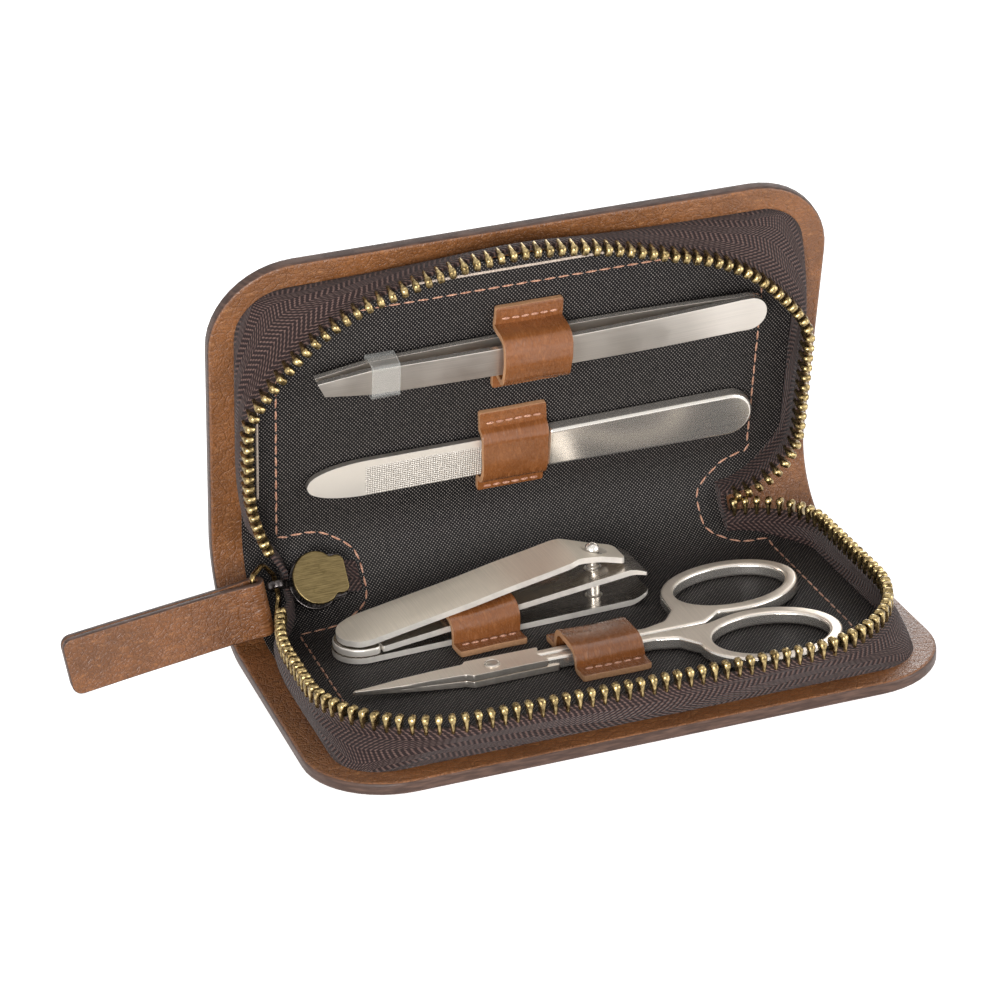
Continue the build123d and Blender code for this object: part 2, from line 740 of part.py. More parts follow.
# --- nail file: a pointed blade in a rolled sheet handle ------------------------------
file_top = Plane(origin=lid_plane.from_local_coords((0, file_reach, tool_floor)),
                 x_dir=lid_plane.x_dir, z_dir=lid_plane.z_dir)
file_tail_start = file_tail_x - file_handle_tail_width / 2
file_tang_end = file_handle_x + file_blade_width
file_tang_half = file_blade_width / 2 - file_handle_wall

with BuildPart() as nail_file:
    with BuildSketch(file_top.offset(file_handle_wall)):
        with BuildLine():
            Polyline((file_shoulder_x, -file_blade_width / 2),
                     (file_handle_x, -file_blade_width / 2),
                     (file_handle_x, -file_tang_half),
                     (file_tang_end, -file_tang_half),
                     (file_tang_end, file_tang_half),
                     (file_handle_x, file_tang_half),
                     (file_handle_x, file_blade_width / 2),
                     (file_shoulder_x, file_blade_width / 2))
            TangentArc((file_shoulder_x, file_blade_width / 2), (file_tip_x, 0),
                       tangent=(-1, 0))
            TangentArc((file_shoulder_x, -file_blade_width / 2), (file_tip_x, 0),
                       tangent=(-1, 0))
        make_face()
    extrude(amount=file_blade)
nail_file.part.label = "nail_file"
export_step(nail_file.part, "parts/nail_file.step")

with BuildPart() as file_handle:
    with BuildSketch(file_top):
        with BuildLine():
            Polyline((file_tail_start, file_handle_tail_width / 2),
                     (file_handle_x, file_handle_width / 2),
                     (file_handle_x, -file_handle_width / 2),
                     (file_tail_start, -file_handle_tail_width / 2))
            ThreePointArc((file_tail_start, -file_handle_tail_width / 2), (file_tail_x, 0),
                          (file_tail_start, file_handle_tail_width / 2))
        make_face()
    extrude(amount=file_handle_height)
    rolled = file_handle.faces().sort_by(Axis(tuple(file_top.origin),
                                              tuple(file_top.z_dir)))[-1].edges()
    fillet(rolled.filter_by(Axis(tuple(file_top.origin), tuple(file_top.y_dir)),
                            reverse=True),
           min(file_handle_roll, file_handle_height / 2))
    with BuildSketch(file_top):
        with Locations(((file_handle_x + file_tail_start) / 2 - file_handle_wall, 0)):
            Rectangle(file_tail_start - file_handle_x + 2 * file_handle_wall,
                      file_handle_width - 2 * file_handle_wall)
    extrude(amount=file_handle_wall + file_blade, mode=Mode.SUBTRACT)
file_handle.part.label = "file_handle"
export_step(file_handle.part, "parts/file_handle.step")

# --- nail clipper: two jaws, joint block, pin and folded lever -------------------------
clipper_plane = Plane(origin=(clipper_end_x, hinge_y - clipper_end_reach, 0),
                      x_dir=(cos(radians(clipper_turn)), sin(radians(clipper_turn)), 0),
                      z_dir=(0, 0, 1))
clipper_side = side_plane(clipper_plane, 1, 0)
jaw_top = tool_floor + clipper_sheet
joint_top = jaw_top + clipper_joint_height
upper_start = clipper_joint_length + clipper_jaw_gap
upper_bottom = joint_top - clipper_sheet


def clipper_plan(start, end, width):
    """Plan of a jaw or lever: round at the joint end, square at the other."""
    with BuildSketch() as plan:
        with BuildLine():
            ThreePointArc((start + width / 2, width / 2), (start, 0),
                          (start + width / 2, -width / 2))
            Polyline((start + width / 2, -width / 2), (end, -width / 2),
                     (end, width / 2), (start + width / 2, width / 2))
        make_face()
    return plan.sketch


with BuildPart() as jaw_lower:
    with BuildSketch(clipper_side):
        with BuildLine():
            Polyline((0, tool_floor), (clipper_bite_reach, tool_floor),
                     (clipper_length, tool_floor + clipper_lower_curl),
                     (clipper_length, tool_floor + clipper_lower_curl + clipper_sheet / 2),
                     (clipper_bite_reach, jaw_top), (0, jaw_top), close=True)
        make_face()
    extrude(amount=clipper_width, both=True)
    with BuildSketch(clipper_plane):
        add(clipper_plan(0, clipper_length, clipper_width))
    extrude(amount=closed_thickness, mode=Mode.INTERSECT)
    with BuildSketch(clipper_plane):
        with Locations((pin_reach, 0)):
            Circle(pin_radius + pin_hole_gap)
    extrude(amount=closed_thickness, mode=Mode.SUBTRACT)
    with BuildSketch(clipper_plane.offset(tool_floor)):
        with Locations((pin_reach, 0)):
            Circle(pin_foot_radius + pin_hole_gap)
    extrude(amount=pin_foot_height + tool_rest_gap, mode=Mode.SUBTRACT)
jaw_lower.part.label = "jaw_lower"
export_step(jaw_lower.part, "parts/jaw_lower.step")

with BuildPart() as jaw_joint:
    with BuildSketch(clipper_plane.offset(jaw_top)):
        add(clipper_plan(0, clipper_joint_length, clipper_width))
    extrude(amount=clipper_joint_height)
jaw_joint.part.label = "jaw_joint"
export_step(jaw_joint.part, "parts/jaw_joint.step")

with BuildPart() as jaw_upper:
    with BuildSketch(clipper_side):
        with BuildLine():
            Polyline((upper_start, upper_bottom),
                     (clipper_bite_reach, upper_bottom + clipper_upper_rise),
                     (clipper_length,
                      upper_bottom + clipper_upper_rise - clipper_upper_curl),
                     (clipper_length, upper_bottom + clipper_upper_rise
                      - clipper_upper_curl + clipper_sheet / 2),
                     (clipper_bite_reach, joint_top + clipper_upper_rise),
                     (upper_start, joint_top), close=True)
        make_face()
    extrude(amount=clipper_width / 2, both=True)
    with BuildSketch(clipper_plane):
        with Locations((pin_reach, 0)):
            Circle(pin_radius + pin_hole_gap)
    extrude(amount=closed_thickness, mode=Mode.SUBTRACT)
jaw_upper.part.label = "jaw_upper"
export_step(jaw_upper.part, "parts/jaw_upper.step")

with BuildPart() as clipper_pin:
    with BuildSketch(clipper_plane.offset(tool_floor)):
        with Locations((pin_reach, 0)):
            Circle(pin_foot_radius)
    extrude(amount=pin_foot_height)
    with BuildSketch(clipper_plane.offset(tool_floor)):
        with Locations((pin_reach, 0)):
            Circle(pin_radius)
    extrude(amount=pin_ball_height - tool_floor)
    with Locations(clipper_plane.from_local_coords((pin_reach, 0, pin_ball_height))):
        Sphere(pin_ball_radius)
clipper_pin.part.label = "clipper_pin"
export_step(clipper_pin.part, "parts/clipper_pin.step")

with BuildPart() as clipper_lever:
    with BuildSketch(clipper_side):
        with BuildLine():
            Polyline((lever_start, lever_start_height),
                     (lever_bend_reach, lever_bend_height),
                     (lever_nose_reach, lever_nose_height),
                     (lever_nose_reach, lever_nose_height - clipper_sheet),
                     (lever_bend_reach, lever_bend_height - clipper_sheet),
                     (lever_start, lever_start_height - clipper_sheet), close=True)
        make_face()
    extrude(amount=clipper_width, both=True)
    with BuildSketch(clipper_plane):
        add(clipper_plan(lever_start, lever_bend_reach, clipper_width))
        with BuildLine():
            Polyline((lever_bend_reach, clipper_width / 2),
                     (pin_reach, lever_nose_width / 2),
                     (lever_nose_reach, lever_nose_width / 2),
                     (lever_nose_reach, -lever_nose_width / 2),
                     (pin_reach, -lever_nose_width / 2),
                     (lever_bend_reach, -clipper_width / 2), close=True)
        make_face()
    extrude(amount=closed_thickness, mode=Mode.INTERSECT)
    with BuildSketch(clipper_plane):
        with Locations((pin_reach, 0)):
            Circle(pin_ball_radius + lever_hole_gap)
    extrude(amount=closed_thickness, mode=Mode.SUBTRACT)
clipper_lever.part.label = "clipper_lever"
export_step(clipper_lever.part, "parts/clipper_lever.step")

# --- scissors: two halves crossing at a rivet, in two layers as far as the handles ------
layer = (scissors_thickness - scissors_layer_gap) / 2
upper_layer = tool_floor + scissors_thickness - layer


def on_base(point, shift=0):
    """Sketch point of a place given by x and distance from the hinge."""
    return (point[0], -point[1] - shift)


def blade_outline():
    """Closed blades and box joint, seen from above."""
    tip_x, tip_reach = scissors_tip
    reach = scissors_pivot[1]
    with BuildSketch() as outline:
        with BuildLine():
            Polyline((tip_x, -tip_reach), (scissors_box_left, -reach + scissors_blade_half_width),
                     (scissors_box_left, -reach + scissors_box_half_width),
                     (scissors_box_right, -reach + scissors_box_half_width),
                     (scissors_box_right, -reach - scissors_box_half_width),
                     (scissors_box_left, -reach - scissors_box_half_width),
                     (scissors_box_left, -reach - scissors_blade_half_width),
                     (tip_x, -tip_reach - scissors_tip_width), close=True)
        make_face()
    return outline.sketch


def handle_outline(sign, center, half_long, half_wide):
    """Shank and finger ring on one side; sign is -1 for the front handle, 1 for the back."""
    reach = -scissors_pivot[1]
    near = reach + sign * scissors_split_gap / 2
    far = near + sign * scissors_shank_width
    tilt = -sign * ring_tilt
    x, y = on_base(center)
    with BuildSketch() as outline:
        with BuildLine():
            Polyline((scissors_box_right + scissors_split_gap, near),
                     (scissors_box_right + scissors_split_gap, far),
                     (scissors_shank_end, far),
                     (x - half_long + ring_wire / 2, y),
                     (x - half_long / 2, y - sign * half_wide * ring_web_share),
                     (scissors_shank_end + half_long / 2, near + sign * scissors_split_gap),
                     (scissors_shank_end, near), close=True)
        make_face()
        with Locations((x, y)):
            Ellipse(half_long, half_wide, rotation=tilt)
            Ellipse(half_long - ring_wire, half_wide - ring_wire, rotation=tilt,
                    mode=Mode.SUBTRACT)
    return outline.sketch


with BuildPart() as scissors_front:
    with BuildSketch(base_plane.offset(tool_floor)):
        add(blade_outline())
    extrude(amount=layer)
    with BuildSketch(base_plane.offset(tool_floor)):
        add(handle_outline(-1, front_ring, front_ring_half_length, front_ring_half_width))
        with Locations((scissors_box_right, -scissors_pivot[1] - scissors_split_gap / 2
                        - scissors_shank_width / 2)):
            Rectangle(2 * scissors_shank_root, scissors_shank_width)
    extrude(amount=layer)
    with BuildSketch(base_plane.offset(tool_floor + layer)):
        add(handle_outline(-1, front_ring, front_ring_half_length, front_ring_half_width))
    extrude(amount=scissors_thickness - layer)
scissors_front.part.label = "scissors_front"
export_step(scissors_front.part, "parts/scissors_front.step")

with BuildPart() as scissors_back:
    with BuildSketch(base_plane.offset(upper_layer)):
        add(blade_outline())
    extrude(amount=layer)
    with BuildSketch(base_plane.offset(upper_layer)):
        add(handle_outline(1, back_ring, back_ring_half_length, back_ring_half_width))
        with Locations((scissors_box_right, -scissors_pivot[1] + scissors_split_gap / 2
                        + scissors_shank_width / 2)):
            Rectangle(2 * scissors_shank_root, scissors_shank_width)
    extrude(amount=layer)
    with BuildSketch(base_plane.offset(tool_floor)):
        add(handle_outline(1, back_ring, back_ring_half_length, back_ring_half_width))
    extrude(amount=scissors_thickness - layer)
    with BuildSketch(base_plane.offset(upper_layer)):
        with Locations(on_base(scissors_pivot)):
            Circle(scissors_rivet_radius + scissors_rivet_gap)
    extrude(amount=layer, mode=Mode.SUBTRACT)
scissors_back.part.label = "scissors_back"
export_step(scissors_back.part, "parts/scissors_back.step")

with BuildPart() as scissors_rivet:
    with BuildSketch(base_plane.offset(tool_floor + layer)):
        with Locations(on_base(scissors_pivot)):
            Circle(scissors_rivet_radius)
    extrude(amount=scissors_thickness - layer)
scissors_rivet.part.label = "scissors_rivet"
export_step(scissors_rivet.part, "parts/scissors_rivet.step")

# --- leather loops --------------------------------------------------------------------
file_room = max(file_blade_width, file_handle_width) / 2 + loop_clearance
tweezer_room = tweezer_mid_width / 2 + 2 * loop_clearance
scissors_room = scissors_box_half_width + loop_clearance

loops = (
    ("loop_tweezers", lid_plane, 1, tweezer_loop_x, tweezer_reach, tweezer_room, tweezer_room,
     loop_flap, tweezer_mid + tweezer_bow + loop_clearance),
    ("loop_file", lid_plane, 1, file_loop_x, file_reach, file_room, file_room, file_hinge_flap,
     tool_floor + file_handle_wall + file_blade + loop_clearance),
    ("loop_scissors", base_plane, -1, scissors_loop_x, scissors_pivot[1],
     scissors_room + scissors_loop_side_room, scissors_room, loop_flap,
     tool_floor + scissors_thickness + loop_clearance),
)
for name, panel, away, x, reach, room_near, room_far, hinge_flap, inner_top in loops:
    with BuildPart() as loop:
        center = reach + (room_far - room_near) / 2
        with BuildSketch(cross_plane(panel, away, x)):
            with Locations((center, 0)):
                add(strap((room_near + room_far) / 2, inner_top, hinge_flap, loop_flap,
                          lining_top))
        extrude(amount=loop_length / 2, both=True)
    loop.part.label = name
    export_step(loop.part, f"parts/{name}.step")

with BuildPart() as loop_clipper:
    for along in (0, loop_length):
        start = clipper_loop_reach + along
        rise = clipper_upper_rise * (start - upper_start) / (clipper_bite_reach - upper_start)
        with BuildSketch(cross_plane(clipper_plane, 1, start)):
            add(strap(clipper_width / 2 + loop_clearance,
                      joint_top + rise + clipper_loop_headroom, loop_flap,
                      clipper_hinge_flap, lining_top))
    loft(ruled=True)
loop_clipper.part.label = "loop_clipper"
export_step(loop_clipper.part, "parts/loop_clipper.step")
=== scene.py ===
import json
from math import atan2, ceil, cos, exp, pi, radians, sin, sqrt, tan

import bmesh
import bpy
from mathutils import Matrix, Vector, noise


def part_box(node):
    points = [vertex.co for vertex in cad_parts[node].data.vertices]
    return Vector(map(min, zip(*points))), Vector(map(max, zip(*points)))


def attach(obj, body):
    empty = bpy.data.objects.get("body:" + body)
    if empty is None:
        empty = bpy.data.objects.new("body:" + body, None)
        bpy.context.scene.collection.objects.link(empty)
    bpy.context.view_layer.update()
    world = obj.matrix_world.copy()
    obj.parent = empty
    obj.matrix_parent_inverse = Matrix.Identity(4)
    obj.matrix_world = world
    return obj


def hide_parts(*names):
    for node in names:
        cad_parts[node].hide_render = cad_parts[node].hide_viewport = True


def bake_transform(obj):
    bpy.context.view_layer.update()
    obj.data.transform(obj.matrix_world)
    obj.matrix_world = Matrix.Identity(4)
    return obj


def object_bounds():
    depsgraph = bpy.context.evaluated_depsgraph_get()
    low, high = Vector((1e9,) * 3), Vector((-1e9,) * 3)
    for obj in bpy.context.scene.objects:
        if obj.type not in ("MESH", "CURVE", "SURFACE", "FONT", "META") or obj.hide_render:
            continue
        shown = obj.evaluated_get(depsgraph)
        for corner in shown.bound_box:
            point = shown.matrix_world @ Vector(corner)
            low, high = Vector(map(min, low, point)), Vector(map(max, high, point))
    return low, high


# A zip-round manicure case in cognac leather, open, with its tools in their loops.
# Everything is shaped in millimetres and put in place in metres.  A place on a half of the
# case is given by x, by its distance from the hinge axis and by its height above the outer
# leather.  A place on the flat-laid leather is given by x and by s, measured along its outer
# face from the middle of the bend: negative on the lower half, positive on the lid.

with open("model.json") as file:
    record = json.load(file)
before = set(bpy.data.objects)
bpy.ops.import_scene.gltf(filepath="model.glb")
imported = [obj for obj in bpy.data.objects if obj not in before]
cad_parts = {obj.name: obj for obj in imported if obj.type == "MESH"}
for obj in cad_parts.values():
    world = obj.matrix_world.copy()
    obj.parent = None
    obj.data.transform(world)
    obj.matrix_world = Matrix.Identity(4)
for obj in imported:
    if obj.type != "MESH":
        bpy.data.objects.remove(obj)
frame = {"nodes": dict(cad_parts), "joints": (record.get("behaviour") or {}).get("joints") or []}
cad_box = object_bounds()
nodes = frame["nodes"]
MM = 0.001


def joint_of(name):
    """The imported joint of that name."""
    return next(joint for joint in frame["joints"] if joint["name"] == name)


def node_box(name):
    """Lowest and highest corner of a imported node, in millimetres."""
    low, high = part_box(name)
    return low / MM, high / MM


# --- sizes of the case, read from the frame --------------------------------------------
lid_joint = joint_of("lid_hinge")
hinge = Vector(lid_joint["pos_m"]) / MM
opening = radians(-lid_joint["range_deg"][0])
cover_low, cover_high = node_box("cover_lower")
half_length = cover_high.x
leather = cover_high.z
bend_start = hinge.y - cover_high.y
panel_reach = hinge.y - cover_low.y
bend_angle = pi - opening
bend_radius = hinge.z + bend_start * tan(opening / 2)
half_arc = bend_radius * bend_angle / 2
lining_top = node_box("lining_lower")[1].z
leather_skin = leather + 0.12
tool_floor = lining_top + 0.2
bend_cut = 1.3

# --- sizes of the looks ----------------------------------------------------------------
cover_corner = 17.0
cover_round = 0.7
lining_half = node_box("lining_lower")[1].x + 3.4
lining_reach = hinge.y - node_box("lining_lower")[0].y + 2.9
lining_corner = 9.5
notch_end = 44.0
notch_half = 8.3
tape_thickness = 0.9
tape_fold = 8.0
tape_edge = 9.3
tape_settle_from = 4.0
tape_settle_over = 8.0
tape_bulge = 0.55
tape_middle = Vector((0, 20))
foot_half = half_length - 5.6
foot_reach = panel_reach - 5.4
foot_corner = 9.0
foot_left_draw_in = 3.7
chain_half = half_length - 5.4
chain_reach = panel_reach - 3.5
chain_corner = 25.5
chain_right_draw_in = 14.6
chain_left_draw_in = 8.8
chain_left_rise = 28.0
chain_end_gap = 0.5
lid_bow = 3.4
lid_draw_in = 15.5
lid_bow_x = -4.0
lid_bow_spread = 42.0
lid_bow_from = 28.0
lid_bow_over = 32.0
tooth_pitch = 2.4
tooth_floor = 8.35
tooth_top = hinge.z + 0.8
first_tooth = 3.6
last_tooth_margin = 5.4


# --- places ----------------------------------------------------------------------------
def place_of(origin, across, up):
    """Placement with its X along across and its Z along up."""
    across, up = Vector(across).normalized(), Vector(up).normalized()
    turn = Matrix((across, up.cross(across), up)).transposed()
    return Matrix.Translation(origin) @ turn.to_4x4()


lid_up = Vector((0, -sin(opening), -cos(opening)))
base_place = Matrix.Translation((0, hinge.y, 0))
lid_place = place_of(hinge - lid_up * hinge.z, (1, 0, 0), lid_up)
HALVES = {"base": (base_place, -1), "lid": (lid_place, 1)}
zip_up = Vector((0, -cos(opening / 2), sin(opening / 2)))
zip_place = place_of(hinge, (1, 0, 0), zip_up)


def on_half(half, x, reach, height):
    """Point in space, in millimetres, of a place on one half."""
    place, away = HALVES[half]
    return place @ Vector((x, away * reach, height))


def folded(x, s, height):
    """Point in space, in millimetres, of a place on the flat-laid leather."""
    if s < -half_arc:
        return on_half("base", x, bend_start - s - half_arc, height)
    if s > half_arc:
        return on_half("lid", x, bend_start + s - half_arc, height)
    turn = (s + half_arc) / bend_radius
    radius = bend_radius - height
    return Vector((x, hinge.y - bend_start + radius * sin(turn),
                   bend_radius - radius * cos(turn)))


def s_of(reach):
    """Distance along the leather, from the middle of the bend, of a place on a half."""
    return half_arc + reach - bend_start


def smooth_step(value):
    """0 below 0, 1 above 1, and a soft ramp between."""
    value = min(max(value, 0.0), 1.0)
    return value * value * (3 - 2 * value)


# --- outlines --------------------------------------------------------------------------
def rounded(corners, radii, closed=True, steps=7):
    """Points of a path with its corners turned as arcs."""
    corners = [Vector(corner) for corner in corners]
    count = len(corners)
    if not hasattr(radii, "__len__"):
        radii = [radii] * count
    points = []
    for i, (corner, radius) in enumerate(zip(corners, radii)):
        if radius == 0 or (not closed and i in (0, count - 1)):
            points.append(corner)
            continue
        to_last = (corners[i - 1] - corner).normalized()
        to_next = (corners[(i + 1) % count] - corner).normalized()
        half = to_last.angle(to_next) / 2
        centre = corner + (to_last + to_next).normalized() * radius / sin(half)
        start = corner + to_last * radius / tan(half) - centre
        end = corner + to_next * radius / tan(half) - centre
        points += [centre + start.slerp(end, k / steps) * radius for k in range(steps + 1)]
    return points


def ellipse(centre, half_long, half_wide, tilt=0.0, start=0.0, end=360.0, count=24):
    """Points on an ellipse, or on a stretch of it."""
    points = []
    total = count if abs(end - start) >= 360 else count + 1
    for i in range(total):
        angle = radians(start + (end - start) * i / count)
        x, y = half_long * cos(angle), half_wide * sin(angle)
        points.append(Vector((centre[0] + x * cos(tilt) - y * sin(tilt),
                              centre[1] + x * sin(tilt) + y * cos(tilt))))
    return points


class Path:
    """A line through points, read by distance along it."""

    def __init__(self, points, closed=False):
        self.points = [Vector(point) for point in points]
        if closed:
            self.points.append(self.points[0])
        self.marks = [0.0]
        for a, b in zip(self.points, self.points[1:]):
            self.marks.append(self.marks[-1] + (b - a).length)
        self.length = self.marks[-1]

    def at(self, distance):
        """Point and heading at a distance along the path."""
        distance = min(max(distance, 0.0), self.length)
        i = 0
        while i < len(self.marks) - 2 and self.marks[i + 1] < distance:
            i += 1
        span = self.marks[i + 1] - self.marks[i]
        a, b = self.points[i], self.points[i + 1]
        share = (distance - self.marks[i]) / span if span else 0.0
        return a.lerp(b, share), (b - a).normalized()


# --- meshes ----------------------------------------------------------------------------
def slab(outline, thickness, round_by, holes=(), segments=3):
    """Flat plate with rounded edges, from the XY plane up.  Its rim has material 1."""
    bm = bmesh.new()
    rims = []
    for loop in (outline, *holes):
        verts = [bm.verts.new((point[0], point[1], 0.0)) for point in loop]
        rims += [bm.edges.new(pair) for pair in zip(verts, verts[1:] + verts[:1])]
    if holes:
        bmesh.ops.triangle_fill(bm, use_beauty=True, use_dissolve=False, edges=rims)
    else:
        bm.faces.new(verts)
    grown = bmesh.ops.extrude_face_region(bm, geom=bm.faces[:])
    top = [item for item in grown["geom"] if isinstance(item, bmesh.types.BMVert)]
    bmesh.ops.translate(bm, vec=(0, 0, thickness), verts=top)
    bmesh.ops.recalc_face_normals(bm, faces=bm.faces)
    for face in bm.faces:
        face.material_index = 1 if abs(face.normal.z) < 0.5 else 0
    soften(bm, round_by, segments)
    return bm


def soften(bm, round_by, segments, limit=50):
    """Rounds every edge that is sharper than the limit, in degrees."""
    sharp = [edge for edge in bm.edges
             if len(edge.link_faces) == 2 and edge.calc_face_angle() > radians(limit)]
    bmesh.ops.bevel(bm, geom=sharp, offset=round_by, offset_type="OFFSET", segments=segments,
                    profile=0.5, affect="EDGES", clamp_overlap=True, material=-1)


def cut(bm, axis, places):
    """Cuts the mesh across an axis at each place, so that it can bend there."""
    normal = Vector((0, 0, 0))
    normal[axis] = 1.0
    for place in places:
        bmesh.ops.bisect_plane(bm, geom=bm.verts[:] + bm.edges[:] + bm.faces[:],
                               dist=1e-4, plane_co=normal * place, plane_no=normal)


def spaced(start, end, pitch):
    """Evenly spaced places strictly between start and end."""
    count = max(1, ceil((end - start) / pitch))
    return [start + (end - start) * i / count for i in range(1, count)]


def lay_uv(bm):
    """Stores each point's flat place, in metres, as the piece's UV map."""
    layer = bm.loops.layers.uv.verify()
    for face in bm.faces:
        for loop in face.loops:
            x, y, z = loop.vert.co
            loop[layer].uv = (x * MM, (y + z) * MM)


def reshape(bm, mapping):
    """Lays the UV map, then moves every point by a mapping of its flat place."""
    lay_uv(bm)
    for vert in bm.verts:
        vert.co = mapping(*vert.co)


def turned(profile):
    """Body of revolution about Z from a profile of radius and height."""
    bm = bmesh.new()
    verts = [bm.verts.new((radius, 0, height)) for radius, height in profile]
    edges = [bm.edges.new(pair) for pair in zip(verts, verts[1:])]
    bmesh.ops.spin(bm, geom=verts + edges, axis=(0, 0, 1), cent=(0, 0, 0), angle=2 * pi,
                   steps=28, use_merge=True)
    bmesh.ops.remove_doubles(bm, verts=bm.verts, dist=1e-4)
    return bm


def tube(path, radius, sides):
    """Round wire along a list of points."""
    line = Path(path)
    last = len(line.points) - 1
    bm = bmesh.new()
    rings = []
    for i, point in enumerate(line.points):
        heading = line.points[min(i + 1, last)] - line.points[max(i - 1, 0)]
        heading.normalize()
        side = heading.orthogonal() if i == 0 else side - heading * side.dot(heading)
        side.normalize()
        up = heading.cross(side)
        rings.append([bm.verts.new(point + (side * cos(a) + up * sin(a)) * radius)
                      for a in (2 * pi * k / sides for k in range(sides))])
    loops = [[bm.edges.new(pair) for pair in zip(ring, ring[1:] + ring[:1])]
             for ring in rings]
    for first, second in zip(loops, loops[1:]):
        bmesh.ops.bridge_loops(bm, edges=first + second)
    for loop in (loops[0], loops[-1]):
        bmesh.ops.contextual_create(bm, geom=loop)
    return bm


def assembled(pairs):
    """One mesh holding each part at its own placement."""
    bm = bmesh.new()
    for part, place in pairs:
        mesh = bpy.data.meshes.new("part")
        part.to_mesh(mesh)
        bm.from_mesh(mesh)
        bm.verts.ensure_lookup_table()
        bmesh.ops.transform(bm, matrix=place, verts=bm.verts[-len(mesh.vertices):])
        bpy.data.meshes.remove(mesh)
    return bm


def raised(part, height):
    """A copy of one part, moved up."""
    return assembled([(part, Matrix.Translation((0, 0, height)))])


def piece(name, bm, finishes, body, stands_for=(), place=Matrix(), blend=False,
          sharp=38, weighted=True, recalc=True):
    """Finished object of a mesh shaped in millimetres.  It rides on its body or, with blend, is
    baked in place and rides on no body."""
    bmesh.ops.transform(bm, matrix=Matrix.Scale(MM, 4) @ place, verts=bm.verts)
    if recalc:
        bmesh.ops.recalc_face_normals(bm, faces=bm.faces)
    for edge in bm.edges:
        if len(edge.link_faces) == 2:
            edge.smooth = edge.calc_face_angle() < radians(sharp)
    for face in bm.faces:
        face.smooth = True
    mesh = bpy.data.meshes.new(name)
    bm.to_mesh(mesh)
    bm.free()
    obj = bpy.data.objects.new(name, mesh)
    bpy.context.scene.collection.objects.link(obj)
    for finish in finishes:
        mesh.materials.append(finish)
    if weighted:
        normals = obj.modifiers.new("Weighted", "WEIGHTED_NORMAL")
        normals.keep_sharp = True
    if blend:
        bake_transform(obj)
    else:
        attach(obj, body)
    if stands_for:
        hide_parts(*stands_for)
    return obj


# --- finishes --------------------------------------------------------------------------
def tone(red, green, blue):
    """Linear colour of an 8-bit sRGB one."""
    levels = [channel / 255 for channel in (red, green, blue)]
    return tuple(c / 12.92 if c <= 0.04045 else ((c + 0.055) / 1.055) ** 2.4
                 for c in levels) + (1.0,)


class Finish:
    """A material in the making: a Principled shader and short calls for its nodes."""

    def __init__(self, name, colour, roughness, metallic=0.0, **sockets):
        self.material = bpy.data.materials.new(name)
        self.material.use_nodes = True
        self.tree = self.material.node_tree
        self.shader = self.tree.nodes["Principled BSDF"]
        self.set("Base Color", colour)
        self.set("Roughness", roughness)
        self.set("Metallic", metallic)
        for socket, value in sockets.items():
            self.set(socket.replace("_", " "), value)

    def feed(self, socket, value):
        """Links a socket to another's output, or sets its value."""
        if isinstance(value, bpy.types.NodeSocket):
            self.tree.links.new(value, socket)
        else:
            socket.default_value = value

    def set(self, socket, value):
        """Feeds one of the shader's own sockets."""
        self.feed(self.shader.inputs[socket], value)

    def node(self, kind, inputs=(), **settings):
        """Adds a node with its settings and inputs, and returns it."""
        made = self.tree.nodes.new(kind)
        for key, value in settings.items():
            setattr(made, key, value)
        for socket, value in dict(inputs).items():
            self.feed(made.inputs[socket], value)
        return made

    def coords(self, stretch=(1, 1, 1), turn=0.0, flat=False):
        """Pattern coordinates in millimetres, on the piece's UV map or in space."""
        source = self.node("ShaderNodeTexCoord").outputs["UV" if flat else "Object"]
        scale = tuple(part / MM for part in stretch)
        return self.node("ShaderNodeMapping", {"Vector": source, "Scale": scale,
                                               "Rotation": (0, 0, turn)}).outputs[0]

    def noise(self, where, scale, detail=3.0, rough=0.55):
        """Noise pattern, 0 to 1; scale is in features per millimetre."""
        return self.node("ShaderNodeTexNoise", {
            "Vector": where, "Scale": scale, "Detail": detail,
            "Roughness": rough}).outputs[0]

    def noise_warp(self, where, scale, reach):
        """Pattern coordinates pushed about by a noise, reach in millimetres."""
        push = self.node("ShaderNodeTexNoise", {"Vector": where, "Scale": scale})
        moved = self.node("ShaderNodeVectorMath", {"Scale": reach}, operation="SCALE")
        self.feed(moved.inputs[0], push.outputs["Color"])
        total = self.node("ShaderNodeVectorMath", operation="ADD")
        self.feed(total.inputs[0], where)
        self.feed(total.inputs[1], moved.outputs[0])
        return total.outputs[0]

    def cells(self, where, scale):
        """Distance to the borders of a cell pattern."""
        return self.node("ShaderNodeTexVoronoi", {"Vector": where, "Scale": scale},
                         feature="DISTANCE_TO_EDGE").outputs["Distance"]

    def math(self, operation, *values):
        """A math node of one to three values."""
        made = self.node("ShaderNodeMath", operation=operation)
        for socket, value in zip(made.inputs, values):
            self.feed(socket, value)
        return made.outputs[0]

    def wave(self, value, pitch):
        """Sine of a distance, one wave to each pitch."""
        return self.math("SINE", self.math("MULTIPLY", value, 2 * pi / pitch))

    def ramp(self, value, low, high, start=0.0, end=1.0):
        """Value taken from low..high to start..end, softly."""
        return self.node("ShaderNodeMapRange", {
            "Value": value, "From Min": low, "From Max": high, "To Min": start,
            "To Max": end}, interpolation_type="SMOOTHSTEP").outputs[0]

    def mix(self, share, first, second):
        """Colour between two colours."""
        made = self.node("ShaderNodeMix", data_type="RGBA")
        self.feed(made.inputs["Factor"], share)
        self.feed(made.inputs[6], first)
        self.feed(made.inputs[7], second)
        return made.outputs[2]

    def bump(self, height, depth, strength):
        """Relief of a height pattern; depth is in millimetres."""
        relief = self.node("ShaderNodeBump", {
            "Height": height, "Distance": depth * MM, "Strength": strength})
        self.set("Normal", relief.outputs[0])


